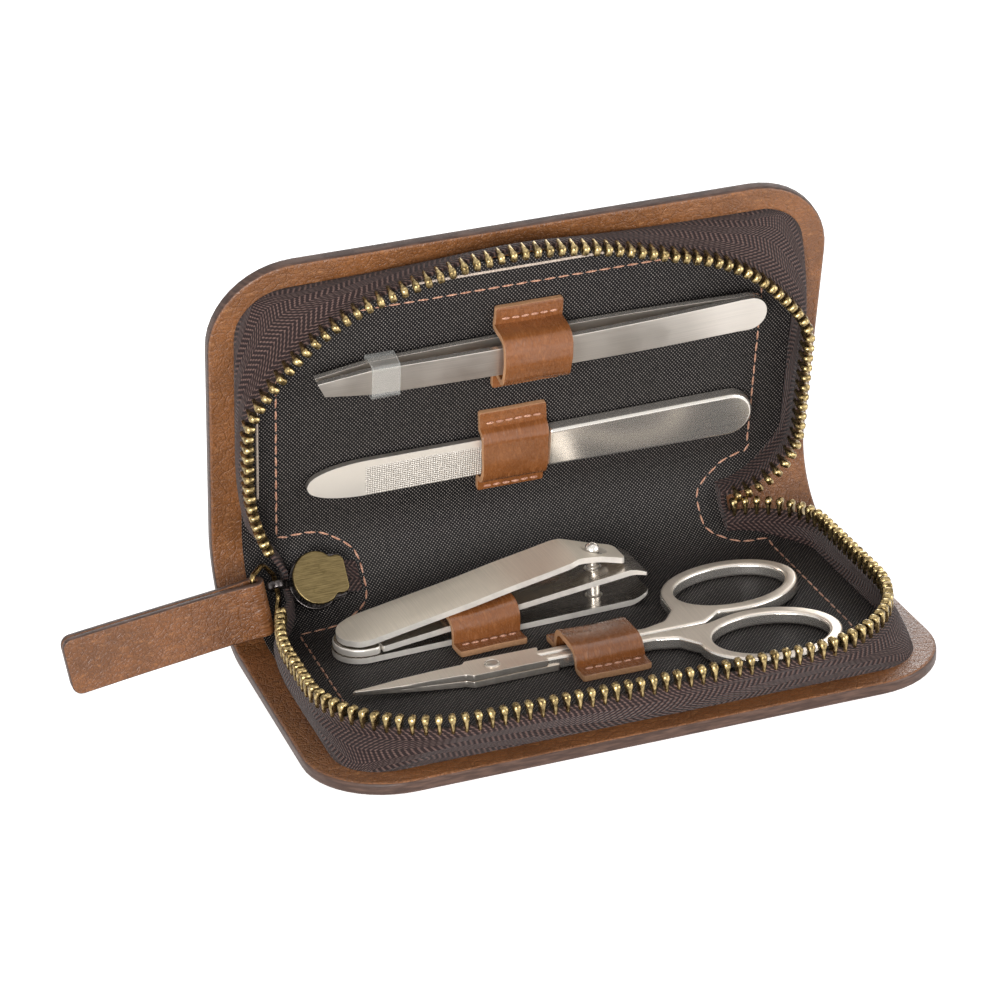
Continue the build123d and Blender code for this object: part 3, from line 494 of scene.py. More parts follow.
def leather_finish(name, deep, mid, light, gloss, relief_depth=0.09, coat=0.08):
    """Pull-up leather: clouded colour, short scuffs and a fine grain."""
    made = Finish(name, mid, gloss, Specular_IOR_Level=0.42, Coat_Weight=coat,
                  Coat_Roughness=0.22)
    where = made.coords(flat=True)
    clouds = made.noise(where, 0.075, 6.0, 0.62)
    scuffs = made.noise(made.coords((1.0, 2.6, 1.0), 0.5, True), 0.45, 6.0, 0.72)
    creases = made.cells(made.noise_warp(where, 0.35, 1.6), 0.42)
    grain = made.cells(where, 1.3)
    fine = made.noise(where, 2.4, 3.0)
    colour = made.mix(made.ramp(clouds, 0.36, 0.64, 0.4, 1.0), deep, mid)
    colour = made.mix(made.ramp(scuffs, 0.50, 0.72, 0.0, 0.62), colour, light)
    colour = made.mix(made.ramp(creases, 0.0, 0.07, 0.34, 0.0), colour, deep)
    colour = made.mix(made.ramp(grain, 0.0, 0.12, 0.36, 0.0), colour, deep)
    made.set("Base Color", colour)
    made.set("Roughness", made.ramp(scuffs, 0.3, 0.75, gloss - 0.06, gloss + 0.14))
    relief = made.math("ADD", made.ramp(grain, 0.0, 0.16), made.math("MULTIPLY", fine, 0.6))
    relief = made.math("MULTIPLY_ADD", made.ramp(creases, 0.0, 0.12), 1.1, relief)
    made.bump(relief, relief_depth, 0.7)
    return made.material


def edge_paint_finish():
    """Grey-brown paint on the cut edges of the leather."""
    made = Finish("edge_paint", tone(74, 54, 46), 0.46, Specular_IOR_Level=0.3)
    streaks = made.noise(made.coords((0.25, 0.25, 2.2)), 1.0, 4.0)
    made.set("Base Color", made.mix(made.ramp(streaks, 0.35, 0.7), tone(62, 45, 38),
                                    tone(92, 70, 60)))
    made.bump(made.noise(made.coords(), 1.6, 3.0), 0.08, 0.5)
    return made.material


def raw_edge_finish():
    """Pale fibrous cut edge of the loop leather."""
    made = Finish("raw_edge", tone(182, 132, 92), 0.7)
    fibres = made.noise(made.coords(), 3.2, 5.0, 0.7)
    made.set("Base Color", made.mix(fibres, tone(140, 88, 52), tone(216, 170, 128)))
    made.bump(fibres, 0.12, 0.7)
    return made.material


def lining_finish():
    """Black woven nylon; the grey glints of its yarns are painted highlights in the base colour.
    """
    made = Finish("lining_weave", tone(22, 20, 20), 0.6, Specular_IOR_Level=0.22)
    where = made.coords(flat=True)
    parts = made.node("ShaderNodeSeparateXYZ", {"Vector": where})
    checks = made.math("MULTIPLY", made.wave(parts.outputs[0], 0.74),
                       made.wave(parts.outputs[1], 0.92))
    # Painted highlight: grey glints of light on the yarns, put into the base colour; a noise
    # varies how bright they are.
    painted_glint = made.ramp(checks, 0.42, 0.88)
    glint_variation = made.ramp(made.noise(where, 0.9, 3.0), 0.25, 0.7, 0.55, 1.0)
    made.set("Base Color", made.mix(made.math("MULTIPLY", painted_glint, glint_variation),
                                    tone(11, 9, 10), tone(146, 138, 132)))
    made.bump(made.ramp(checks, -0.6, 0.8), 0.09, 0.8)
    return made.material


def tape_finish():
    """Mauve-brown herringbone twill of the zip's tape."""
    made = Finish("tape_twill", tone(70, 54, 50), 0.78, Sheen_Weight=0.1,
                  Sheen_Roughness=0.45, Specular_IOR_Level=0.25)
    where = made.coords(flat=True)
    parts = made.node("ShaderNodeSeparateXYZ", {"Vector": where})
    u, v = parts.outputs[0], parts.outputs[1]
    zigzag = made.math("PINGPONG", v, 2.6)
    slant = made.math("ADD", u, made.math("MULTIPLY", zigzag, 1.15))
    relief = made.math("MULTIPLY_ADD", made.wave(v, 0.62), 0.45, made.wave(slant, 1.12))
    tint = made.ramp(made.noise(where, 0.8, 3.0), 0.3, 0.75, 0.6, 1.0)
    light = made.math("MULTIPLY", made.ramp(relief, -0.1, 1.3), tint)
    made.set("Base Color", made.mix(light, tone(34, 22, 22), tone(114, 90, 83)))
    made.bump(made.ramp(relief, -1.4, 1.4), 0.22, 0.9)
    return made.material


def brass_finish(name, dark, bright, roughness):
    """Antique brass: bright rubbed patches and brown patina, spread at random by a noise."""
    made = Finish(name, bright, roughness, metallic=1.0)
    where = made.coords()
    patina = made.ramp(made.noise(where, 1.1, 5.0, 0.65), 0.3, 0.72)
    made.set("Base Color", made.mix(patina, dark, bright))
    made.set("Roughness", made.ramp(made.noise(where, 2.6, 3.0), 0.25, 0.8,
                                    roughness - 0.08, roughness + 0.16))
    made.bump(made.noise(where, 3.0, 4.0), 0.03, 0.5)
    return made.material


def plate_finish():
    """Slider plate: olive brass, brushed slantwise, with dents and scratches."""
    made = Finish("plate_brass", tone(130, 113, 78), 0.34, metallic=1.0)
    brushed = made.noise(made.coords((0.12, 3.0, 1.0), 0.5, flat=True), 2.2, 5.0, 0.7)
    dents = made.noise(made.coords(flat=True), 0.5, 3.0)
    colour = made.mix(made.ramp(brushed, 0.3, 0.75), tone(92, 79, 52), tone(140, 122, 84))
    made.set("Base Color", made.mix(made.ramp(dents, 0.55, 0.75, 0.0, 0.5), colour,
                                    tone(86, 74, 46)))
    made.set("Roughness", made.ramp(brushed, 0.2, 0.8, 0.26, 0.46))
    made.bump(made.math("ADD", brushed, made.math("MULTIPLY", dents, 2.0)), 0.05, 0.6)
    return made.material


def steel_finish(name, colour, roughness, stretch, depth=0.012, metallic=0.86, vary=0.04):
    """Steel brushed along one direction of the piece's flat place."""
    made = Finish(name, colour, roughness, metallic=metallic)
    lines = made.noise(made.coords(stretch, flat=True), 1.0, 5.0, 0.7)
    clouds = made.noise(made.coords(flat=True), 0.12, 3.0)
    shade = tuple(channel * 0.82 for channel in colour[:3]) + (1.0,)
    made.set("Base Color", made.mix(made.ramp(lines, 0.2, 0.8), shade, colour))
    made.set("Roughness", made.math("ADD", made.ramp(lines, 0.2, 0.8, roughness - vary,
                                                     roughness + vary),
                                    made.ramp(clouds, 0.3, 0.7, -vary, vary)))
    if depth:
        made.bump(lines, depth, 0.6)
    return made.material


file_cut_pitch = 0.95
file_cut_start = -32.2
file_cut_half = 3.7


def file_finish():
    """Nail file steel: cross-cut teeth on the blade, plain at the tip and along its rim."""
    made = Finish("file_cut", tone(206, 198, 188), 0.36, metallic=0.6)
    where = made.coords(flat=True)
    parts = made.node("ShaderNodeSeparateXYZ", {"Vector": where})
    x, y = parts.outputs[0], parts.outputs[1]
    hatch = made.math("MULTIPLY", made.wave(made.math("ADD", x, y), file_cut_pitch),
                      made.wave(made.math("SUBTRACT", x, y), file_cut_pitch))
    on_blade = made.ramp(x, file_cut_start, file_cut_start + 0.4)
    rim = made.ramp(made.math("ABSOLUTE", y), file_cut_half, file_cut_half + 0.2, 1.0, 0.0)
    area = made.math("MULTIPLY", on_blade, rim)
    cutting = made.math("MULTIPLY", made.ramp(hatch, -0.3, 0.5), area)
    made.set("Base Color", made.mix(cutting, tone(240, 234, 226), tone(168, 159, 148)))
    made.set("Roughness", made.math("MULTIPLY_ADD", area, 0.14, 0.3))
    made.bump(cutting, 0.10, 0.9)
    return made.material


def thread_finish(name, dark, light):
    """Waxed thread, lighter where its twist catches the light."""
    made = Finish(name, light, 0.45, Sheen_Weight=0.2)
    twist = made.noise(made.coords(), 4.5, 2.0)
    made.set("Base Color", made.mix(made.ramp(twist, 0.35, 0.65), dark, light))
    made.bump(twist, 0.06, 0.6)
    return made.material


def clear_finish(name, alpha):
    """Clear soft plastic."""
    made = Finish(name, tone(222, 222, 218), 0.12, Alpha=alpha, Coat_Weight=0.6,
                  Coat_Roughness=0.05)
    haze = made.noise(made.coords(), 0.6, 2.0)
    made.set("Base Color", made.mix(haze, tone(232, 232, 228), tone(206, 206, 202)))
    return made.material


def board_finish():
    """Grey pulp board, shut in between leather and lining."""
    made = Finish("pulp_board", tone(150, 146, 138), 0.9)
    fibres = made.noise(made.coords(), 2.0, 4.0)
    made.set("Base Color", made.mix(fibres, tone(128, 124, 116), tone(168, 163, 154)))
    return made.material


LEATHER = leather_finish("cognac_leather", tone(94, 58, 31), tone(129, 81, 44),
                         tone(172, 122, 79), 0.38)
LOOP_LEATHER = leather_finish("loop_leather", tone(104, 61, 31), tone(133, 81, 43),
                              tone(160, 106, 64), 0.24, relief_depth=0.02,
                              coat=0.4)
TAB_LEATHER = leather_finish("tab_leather", tone(85, 52, 28), tone(123, 77, 43),
                             tone(168, 116, 73), 0.36)
EDGE_PAINT = edge_paint_finish()
RAW_EDGE = raw_edge_finish()
LINING = lining_finish()
TAPE = tape_finish()
BRASS = brass_finish("antique_brass", tone(70, 55, 32), tone(204, 180, 128), 0.28)
RING_BRASS = brass_finish("ring_brass", tone(64, 50, 32), tone(140, 118, 78), 0.26)
PLATE = plate_finish()
GUNMETAL = brass_finish("gunmetal", tone(52, 48, 48), tone(112, 106, 104), 0.30)
STEEL = steel_finish("brushed_steel", tone(224, 216, 207), 0.36, (0.04, 5.0, 1.0),
                     metallic=0.95)
CROSS_STEEL = steel_finish("cross_brushed_steel", tone(240, 230, 214), 0.46,
                           (4.0, 0.05, 1.0), metallic=0.6)
BLADE_STEEL = steel_finish("ground_steel", tone(238, 226, 212), 0.38, (4.0, 0.05, 1.0),
                           metallic=0.76)
BRIGHT_STEEL = steel_finish("polished_steel", tone(230, 224, 216), 0.22, (0.03, 2.0, 1.0),
                            depth=0, metallic=0.85, vary=0.01)
JAW_STEEL = steel_finish("jaw_steel", tone(196, 189, 180), 0.26, (0.05, 4.0, 1.0),
                         metallic=0.95)
# Painted highlight: the clipper's rims are real steel, made whiter and less metallic than its
# faces so that they show as bright highlighted edges.
EDGE_HIGHLIGHT_STEEL = steel_finish("edge_highlight_steel", tone(244, 238, 229), 0.42, (0.3, 0.3, 1.0),
                          depth=0.004, metallic=0.55)
SATIN_STEEL = steel_finish("satin_steel", tone(206, 198, 188), 0.34, (0.8, 0.8, 1.0))
FILE_CUT = file_finish()
COPPER_THREAD = thread_finish("copper_thread", tone(138, 84, 62), tone(214, 166, 138))
PALE_THREAD = thread_finish("pale_thread", tone(172, 152, 138), tone(226, 210, 194))
CLEAR = clear_finish("clear_band", 0.15)
CLEAR_RIM = clear_finish("clear_rim", 0.5)
BOARD = board_finish()

for name in ("board_lower", "board_upper"):
    nodes[name].data.materials.clear()
    nodes[name].data.materials.append(BOARD)
nodes["pull_ring"].data.materials.clear()
nodes["pull_ring"].data.materials.append(RING_BRASS)
for polygon in nodes["pull_ring"].data.polygons:
    polygon.use_smooth = True


# --- the leather, one sheet round the bend ---------------------------------------------
def leather_case():
    """Cover of both halves and the bend between them, its cut edges painted."""
    end = s_of(panel_reach)
    corners = ((half_length, -end), (half_length, end), (-half_length, end),
               (-half_length, -end))
    bm = slab(rounded(corners, cover_corner, steps=12), leather_skin, cover_round, segments=4)
    cut(bm, 1, spaced(-half_arc - 1, half_arc + 1, bend_cut))
    cut(bm, 1, spaced(-end, -half_arc, 7.0) + spaced(half_arc, end, 7.0))
    cut(bm, 0, spaced(-half_length, half_length, 7.0))

    def shape(x, s, height):
        swell = 0.16 * noise.noise((x / 24, s / 24, 3.0)) * height / leather
        return folded(x, s, height + swell)

    reshape(bm, shape)
    piece("leather_case", bm, (LEATHER, EDGE_PAINT), "base",
          ("cover_lower", "cover_upper", "cover_spine"), blend=True)


leather_case()


# --- the lining ------------------------------------------------------------------------
def fabric_lining():
    """Woven lining across both halves, notched where the zip's right end comes in."""
    end = s_of(lining_reach)
    corners = ((lining_half, -end), (lining_half, -notch_half), (notch_end, -notch_half),
               (notch_end, notch_half), (lining_half, notch_half), (lining_half, end),
               (-lining_half, end), (-lining_half, -end))
    radii = (lining_corner, 2.0, notch_half * 0.95, notch_half * 0.95, 2.0, lining_corner,
             lining_corner, lining_corner)
    thickness = lining_top - leather_skin
    bm = slab(rounded(corners, radii, steps=8), thickness, 0.2, segments=2)
    cut(bm, 1, spaced(-half_arc - 1, half_arc + 1, bend_cut))
    cut(bm, 1, spaced(-end, -half_arc, 5.0) + spaced(half_arc, end, 5.0))
    cut(bm, 0, spaced(-lining_half, lining_half, 5.0))

    def shape(x, s, height):
        billow = 0.14 * noise.noise((x / 15, s / 15, 8.0)) if height > thickness / 2 else 0
        return folded(x, s, leather_skin + height + billow)

    reshape(bm, shape)
    lining = piece("fabric_lining", bm, (LINING,), "base",
                   ("lining_lower", "lining_upper", "lining_spine"), blend=True)


fabric_lining()


def stitches(path, way_up, length, gap, radius, lift=0.35):
    """Run of stitches along a path; way_up gives the way out of the cloth at a point."""
    single = bmesh.new()
    bmesh.ops.create_uvsphere(single, u_segments=8, v_segments=6, radius=1.0)
    pairs = []
    count = int(path.length / (length + gap))
    pitch = path.length / count
    for i in range(count):
        start, middle, end = (path.at((i + 0.5) * pitch + side * (pitch - gap) / 2)[0]
                              for side in (-1, 0, 1))
        heading = (end - start).normalized()
        up = way_up(middle)
        up = (up - heading * up.dot(heading)).normalized()
        lean = Matrix.Rotation(0.10 * noise.noise(middle * 0.9), 4, "Z")
        size = Matrix.Diagonal(((end - start).length / 2, radius, radius * 0.8, 1))
        pairs.append((single, place_of(middle + up * radius * lift, heading, up) @ lean @ size))
    return assembled(pairs)


def case_up(point):
    """Way out of the lining at a point in space."""
    outward = point - Vector((0, hinge.y - bend_start, bend_radius))
    turn = atan2(outward.y, -outward.z)
    if turn < -pi / 2:
        turn += 2 * pi
    turn = min(max(turn, 0.0), bend_angle)
    return Vector((0, -sin(turn), cos(turn)))


def lining_stitches():
    """Copper stitch line round the lining, drawn in round each end of the zip."""
    side, front = 49.5, s_of(56.9)
    right, left = 37.8, -33.4
    corners = ((side, -front), (side, -11.0), (44.0, -11.0), (right, -5.4), (right, 5.4),
               (44.0, 11.5), (side, 13.5), (side, front), (-side, front), (-side, 12.8),
               (-41.0, 13.0), (left, 6.5), (left, -6.5), (-41.0, -12.8), (-side, -13.5),
               (-side, -front))
    radii = (12, 0.6, 7, 7, 7, 7, 0.6, 12, 12, 0.6, 9, 9, 9, 9, 0.6, 12)
    flat = Path(rounded(corners, radii, steps=6), closed=True)
    count = int(flat.length / 0.8)
    points = [folded(*flat.at(flat.length * i / count)[0], lining_top + 0.02)
              for i in range(count)]
    bm = stitches(Path(points, closed=True), case_up, 2.5, 0.3, 0.23, lift=-0.1)
    piece("lining_stitches", bm, (COPPER_THREAD,), "base", blend=True,
          weighted=False)


lining_stitches()


# --- zip tapes -------------------------------------------------------------------------
end_steps = 16
corner_steps = 22
front_steps = 24
left_steps = 12


def front_run(corner_x, reach):
    """Points along the straight front between two corners."""
    return [Vector((corner_x - 2 * corner_x * i / front_steps, reach))
            for i in range(1, front_steps)]


def far_side(half_width, reach, corner):
    """Points round the two far corners and the front between them."""
    corner_x, corner_reach = half_width - corner, reach - corner
    return (ellipse((corner_x, corner_reach), corner, corner, 0, 0, 90, corner_steps)
            + front_run(corner_x, reach)
            + ellipse((-corner_x, corner_reach), corner, corner, 0, 90, 180, corner_steps))


def chain_points(half):
    """Run of the teeth round one half, as x and distance from the hinge.

    The lid's tape stands out in the middle of its front and draws in at the corners."""
    right_x = chain_half - chain_right_draw_in
    points = ellipse((right_x, chain_right_draw_in + chain_end_gap), chain_right_draw_in,
                     chain_right_draw_in, 0, -90, 0, end_steps)
    points += far_side(chain_half, chain_reach, chain_corner)
    left_radius = (chain_left_draw_in**2 + chain_left_rise**2) / (2 * chain_left_draw_in)
    for i in range(left_steps + 1):
        angle = chain_left_rise / left_radius * i / left_steps
        points.append(Vector((-chain_half + left_radius * (1 - cos(angle)),
                              chain_left_rise - left_radius * sin(angle))))
    if half == "lid":
        for point in points:
            apart = (point.x - lid_bow_x) / lid_bow_spread
            bow = lid_bow - lid_draw_in * (1 - exp(-apart**2))
            point.y += bow * smooth_step((point.y - lid_bow_from) / lid_bow_over)
    return points


def foot_points():
    """Sewn line of the tape, with a point under each point of the chain."""
    points = [Vector((foot_half, chain_right_draw_in * i / end_steps))
              for i in range(end_steps + 1)]
    points += far_side(foot_half, foot_reach, foot_corner)
    for i in range(left_steps + 1):
        share = i / left_steps
        points.append(Vector((-foot_half + foot_left_draw_in * share**2,
                              chain_left_rise * (1 - share))))
    return points


def leather_height(reach):
    """Height of the leather's inner face over a half's plane, which rises at the bend."""
    inside = bend_radius - leather
    if reach >= bend_start:
        return leather
    return bend_radius - sqrt(inside**2 - (bend_start - reach)**2)


def tape_section(chain, foot, share):
    """Place across the tape, from its foot at share 0 to its edge at 1."""
    rise = tape_edge - leather
    low = leather_height(max(foot.y, 0.0)) - 0.15
    settle = smooth_step((chain.y - tape_settle_from) / tape_settle_over)
    foot = chain.lerp(foot, settle)
    height = low + (tape_edge - low) * share
    lean = min(1.0, share * rise / (tape_fold - leather))
    plan = foot.lerp(chain, lean)
    away = (foot - tape_middle).normalized()
    bulge = tape_bulge * sin(pi * lean) * settle
    return plan.x + away.x * bulge, plan.y + away.y * bulge, height


def fan_point(x, turn, share):
    """The tape's place where it turns round the hinge axis at an end of the zip."""
    heading = Vector((0, sin(turn), -cos(turn)))
    centre = Vector((0, -bend_start, bend_radius - hinge.z))
    inside = bend_radius - leather
    toward = centre.dot(heading)
    far = toward + sqrt(toward**2 + inside**2 - centre.length_squared) + 0.1
    near = hinge.z - tape_edge
    return hinge + Vector((x, 0, 0)) + heading * (far + (near - far) * share)


def zip_tape():
    """Both tapes as one band: round each half and round the hinge axis at both ends."""
    feet = foot_points()
    stations = []
    runs, rows, fan_steps, measured_row = 260, 9, 12, 3
    for half, order in (("base", 1), ("lid", -1)):
        chain = Path(chain_points(half))
        marks = chain.marks
        run = []
        k = 0
        for i in range(runs + 1):
            distance = chain.length * i / runs
            while k < len(marks) - 2 and marks[k + 1] < distance:
                k += 1
            share = (distance - marks[k]) / (marks[k + 1] - marks[k])
            run.append((half, chain.at(distance)[0], feet[k].lerp(feet[k + 1], share)))
        fan_x = run[-1][1].x if order == 1 else run[0][1].x
        stations += run[::order]
        for i in range(1, fan_steps):
            turn = bend_angle * i / fan_steps
            stations.append(("fan", fan_x, turn if order == 1 else bend_angle - turn))

    def place(u, v):
        kind, first, second = stations[round(u * len(stations)) % len(stations)]
        if kind == "fan":
            return fan_point(first, second, v)
        return on_half(kind, *tape_section(first, second, v))

    bm = bmesh.new()
    bmesh.ops.create_grid(bm, x_segments=len(stations), y_segments=rows, size=0.5)
    layer = bm.loops.layers.uv.verify()
    around, down = [0.0], []
    for i in range(len(stations) + 1):
        column = Path([place(i / len(stations), k / rows) for k in range(rows, -1, -1)])
        down.append(column.marks)
        if i:
            around.append(around[-1] + (column.points[measured_row] - last).length)
        last = column.points[measured_row]
    for face in bm.faces:
        for loop in face.loops:
            i = round((loop.vert.co.x + 0.5) * len(stations))
            row = rows - round((loop.vert.co.y + 0.5) * rows)
            loop[layer].uv = (around[i] * MM, down[i][row] * MM)
    for vert in bm.verts:
        vert.co = place(vert.co.x + 0.5, vert.co.y + 0.5)
    bmesh.ops.remove_doubles(bm, verts=bm.verts, dist=0.02)
    bmesh.ops.recalc_face_normals(bm, faces=bm.faces)
    tape = piece("zip_tape", bm, (TAPE,), "base",
                 ("gusset_lower", "gusset_upper", "gusset_end_left", "gusset_end_right"),
                 blend=True, weighted=False, sharp=80, recalc=False)
    wall = tape.modifiers.new("Wall", "SOLIDIFY")
    wall.thickness = tape_thickness * MM
    wall.offset = 0.0


zip_tape()


def lining_piping():
    """Pale cord laid along the edge of the lid's lining."""
    end, side = s_of(60.9), 53.2
    corners = ((side, 62.0), (side, end), (-side, end), (-side, 24.0))
    line = Path(rounded(corners, (0, 5.0, 12.0, 0), closed=False, steps=12))
    count = 150
    points = [folded(*line.at(line.length * i / count)[0], lining_top)
              for i in range(count + 1)]
    piece("lining_piping", tube(points, 0.26, 6), (PALE_THREAD,), "lid",
          weighted=False)


lining_piping()


# --- teeth -----------------------------------------------------------------------------
def tooth():
    """One cast tooth: a foot on the tape's edge, a waist that widens, and a round head."""
    length, width, head_width = 0.86, 2.3, 2.0
    foot = tooth_top - tooth_floor - 1.5
    bm = bmesh.new()
    bmesh.ops.create_cube(bm, size=1.0)
    bmesh.ops.scale(bm, vec=(length, width, foot), verts=bm.verts)
    bmesh.ops.translate(bm, vec=(0, 0, foot / 2), verts=bm.verts)
    for rise, widen_x, widen_y in ((0.3, 1.62, head_width / width), (0.7, 1.0, 1.0),
                                   (0.5, 0.62, 0.7)):
        top = max(bm.faces, key=lambda face: face.calc_center_median().z)
        lifted = bmesh.ops.extrude_discrete_faces(bm, faces=[top])["faces"][0]
        bmesh.ops.translate(bm, vec=(0, 0, rise), verts=lifted.verts)
        bmesh.ops.scale(bm, vec=(widen_x, widen_y, 1), verts=lifted.verts)
    bottom = [vert for vert in bm.verts if vert.co.z < 0.01]
    bmesh.ops.scale(bm, vec=(0.8, 0.86, 1), verts=bottom)
    soften(bm, 0.26, 1, limit=40)
    return bm


def zip_teeth():
    """Both rows of teeth, a half pitch apart, which also take the place of the top stops."""
    single = tooth()
    for half, row, start in (("base", "lower", first_tooth),
                             ("lid", "upper", first_tooth + tooth_pitch / 2)):
        place, away = HALVES[half]
        chain = Path(chain_points(half))
        count = int((chain.length - last_tooth_margin - start) / tooth_pitch)
        pairs = []
        for i in range(-1, count):
            point, heading = chain.at(start + tooth_pitch * i)
            spot = Vector((point.x, away * point.y, tooth_floor))
            facing = Vector((heading.x, away * heading.y, 0))
            lean = Matrix.Rotation(0.07 * noise.noise(spot * 3.1), 4, "Z")
            pairs.append((single, place @ place_of(spot, facing, (0, 0, 1)) @ lean))
        piece(f"zip_teeth_{row}", assembled(pairs), (BRASS,), half,
              (f"teeth_{row}", f"top_stop_{row}"), weighted=False, sharp=60)


zip_teeth()


# --- slider ----------------------------------------------------------------------------
slider_low, slider_high = node_box("slider_inner_plate")
slider_left, slider_right = slider_low.x, slider_high.x
slider_gap = 2.7
slider_plate = 1.0


def slider_outline(grow=0.0):
    """Pear-shaped plate: round at the nose, waisted before its narrower tail."""
    nose = ellipse((slider_left + 4.9, 0), 4.9 + grow, 5.4 + grow, 0, 62, 298, 26)
    waist, tail = slider_left + 8.2, slider_right + grow
    corners = (nose[-1], (waist, -3.7 - grow), (tail, -4.4), (tail, 4.4),
               (waist, 3.7 + grow), nose[0])
    return nose + rounded(corners, (0, 1.0, 1.5, 1.5, 1.0, 0), closed=False, steps=5)[1:-1]


def zip_slider():
    """Slider body: its two plates, the rails at their sides and the post between them."""
    half_gap, round_by = slider_gap / 2, 0.34
    inner = raised(slab(slider_outline(), slider_plate, round_by, segments=4), half_gap)
    lay_uv(inner)
    piece("slider_face", inner, (PLATE, PLATE), "zip_end",
          ("slider_inner_plate",), place=zip_place)
    rail_start, rail_end, rail_half = slider_left + 3.6, slider_right - 0.7, 0.45
    rail = slab(rounded(((rail_start, -rail_half), (rail_end, -rail_half),
                         (rail_end, rail_half), (rail_start, rail_half)), 0.3), 0.8, 0.2)
    pairs = [(slab(slider_outline(0.25), slider_plate, round_by, segments=4),
              Matrix.Translation((0, 0, -half_gap - slider_plate)))]
    for side in (1, -1):
        middle = Matrix.Translation((slider_left + 5.2, 0, 0))
        slant = middle @ Matrix.Rotation(-side * 0.10, 4, "Z") @ middle.inverted()
        for height in (half_gap - 0.8, -half_gap):
            pairs.append((rail, Matrix.Translation((0, side * 4.3, height)) @ slant))
    outer = assembled(pairs)
    lay_uv(outer)
    piece("slider_back", outer, (GUNMETAL, GUNMETAL), "zip_end",
          ("slider_outer_plate",), place=zip_place)
    post = slab(ellipse((slider_left + 3.3, 0), 1.0, 1.2, count=20), slider_gap, 0.25)
    piece("slider_column", raised(post, -half_gap), (GUNMETAL, GUNMETAL), "zip_end",
          ("slider_post",), place=zip_place)


zip_slider()


def slider_eye():
    """Cast eye at the slider's nose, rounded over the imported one."""
    bm = bmesh.new()
    bm.from_mesh(nodes["slider_crown"].data)
    bmesh.ops.remove_doubles(bm, verts=bm.verts, dist=1e-6)
    bmesh.ops.dissolve_limit(bm, angle_limit=radians(2), verts=bm.verts, edges=bm.edges)
    bmesh.ops.scale(bm, vec=(1 / MM,) * 3, verts=bm.verts)
    soften(bm, 0.22, 2)
    piece("slider_eye", bm, (GUNMETAL,), "zip_end", ("slider_crown",))


slider_eye()


def tape_end():
    """Joined end of the two tapes behind the slider, and its bottom stop."""
    low = node_box("tape_tail")[0]
    length, width = 8.6, 6.4
    tail = slab(rounded(((0, -width / 2), (length, -width / 2), (length, width / 2),
                         (0, width / 2)), 1.0, steps=3), 0.6, 0.15, segments=2)
    cut(tail, 0, spaced(0, length, 0.8))
    drop = (bend_radius - lining_top) - (bend_radius - hinge.z) / sin(opening / 2)

    def shape(x, y, z):
        sink = smooth_step((x - 3.4) / (length - 3.6))
        return Vector((low.x + x, y, z - 0.3 - sink * (drop - 0.8)))

    reshape(tail, shape)
    piece("tape_end", tail, (TAPE,), "zip_end", ("tape_tail",),
          place=zip_place)
    left, right = slider_right - 1.4, slider_right + 0.1
    stop = slab(rounded(((left, -2.0), (right, -2.0), (right, 2.0), (left, 2.0)), 0.5,
                        steps=3), 2.0, 0.35, segments=3)
    piece("zip_stop", raised(stop, -1.0), (BRASS, BRASS), "zip_end",
          ("bottom_stop",), place=zip_place)


tape_end()


# --- pull tab --------------------------------------------------------------------------
def pull_tab():
    """Leather strip folded round the ring, its two layers pressed together."""
    slope = radians(7.3)
    fold = Vector(joint_of("tab_swing")["pos_m"]) / MM
    along = Vector((-cos(slope), 0, -sin(slope)))
    upward = Vector((-sin(slope), 0, cos(slope)))
    low = node_box("pull_tab")[0]
    length = (fold.x - low.x) / cos(slope) - 0.4
    width, layer, round_wire, press = 11.5, 1.3, 0.85, 0.9
    section = [Vector((length, 0.06)), Vector((7.0, 0.06)), Vector((3.2, 0.35))]
    arc = ellipse((0, 0), round_wire, round_wire, 0, 55, 305, 16)
    section += arc + [Vector((p.x, -p.y)) for p in reversed(section)]
    path = Path(section)
    total = path.length
    half = width / 2
    outline = rounded(((0, -half), (total, -half), (total, half), (0, half)), 2.0, steps=5)
    bm = slab(outline, layer, 0.4, segments=3)
    cut(bm, 0, spaced(0, total, 4.0))
    cut(bm, 0, spaced(total / 2 - 8, total / 2 + 8, 0.35))

    def shape(distance, across, height):
        point, heading = path.at(distance)
        outward = Vector((heading.y, -heading.x))
        spot = point + outward * height
        if spot.x > 0:
            spot.y += press * (spot.x / length)**2 - press * spot.x / length
        flare = 1 + 0.05 * max(spot.x, 0) / length
        wave = 0.10 * noise.noise((distance / 9, across / 9, 1.0)) * (height / layer)
        return (fold + along * spot.x + upward * across * flare
                + Vector((0, -1, 0)) * (spot.y + wave * (1 if spot.y > 0 else -1)))

    reshape(bm, shape)
    piece("tab_strap", bm, (TAB_LEATHER, EDGE_PAINT), "tab", ("pull_tab",))


pull_tab()


# --- leather loops ---------------------------------------------------------------------
strap_length = 13.6
strap_thickness = 1.35


def strap_path(near, far, top, near_flap, far_flap, crown):
    """Inner line of a loop in its cross-section, from the end of one flap to the other."""
    sag, slack, splay = 0.15, 0.4, 0.7
    corners = [(near - splay - near_flap, lining_top), (near - slack, lining_top + sag),
               (near, top), ((near + far) / 2, top + crown), (far, top),
               (far + slack, lining_top + sag), (far + splay + far_flap, lining_top)]
    rise = top - lining_top
    foot, shoulder = min(0.8, 0.3 * rise), min(1.9, 0.55 * rise)
    return rounded(corners, (0, foot, shoulder, 4.0, shoulder, foot, 0), closed=False, steps=8)


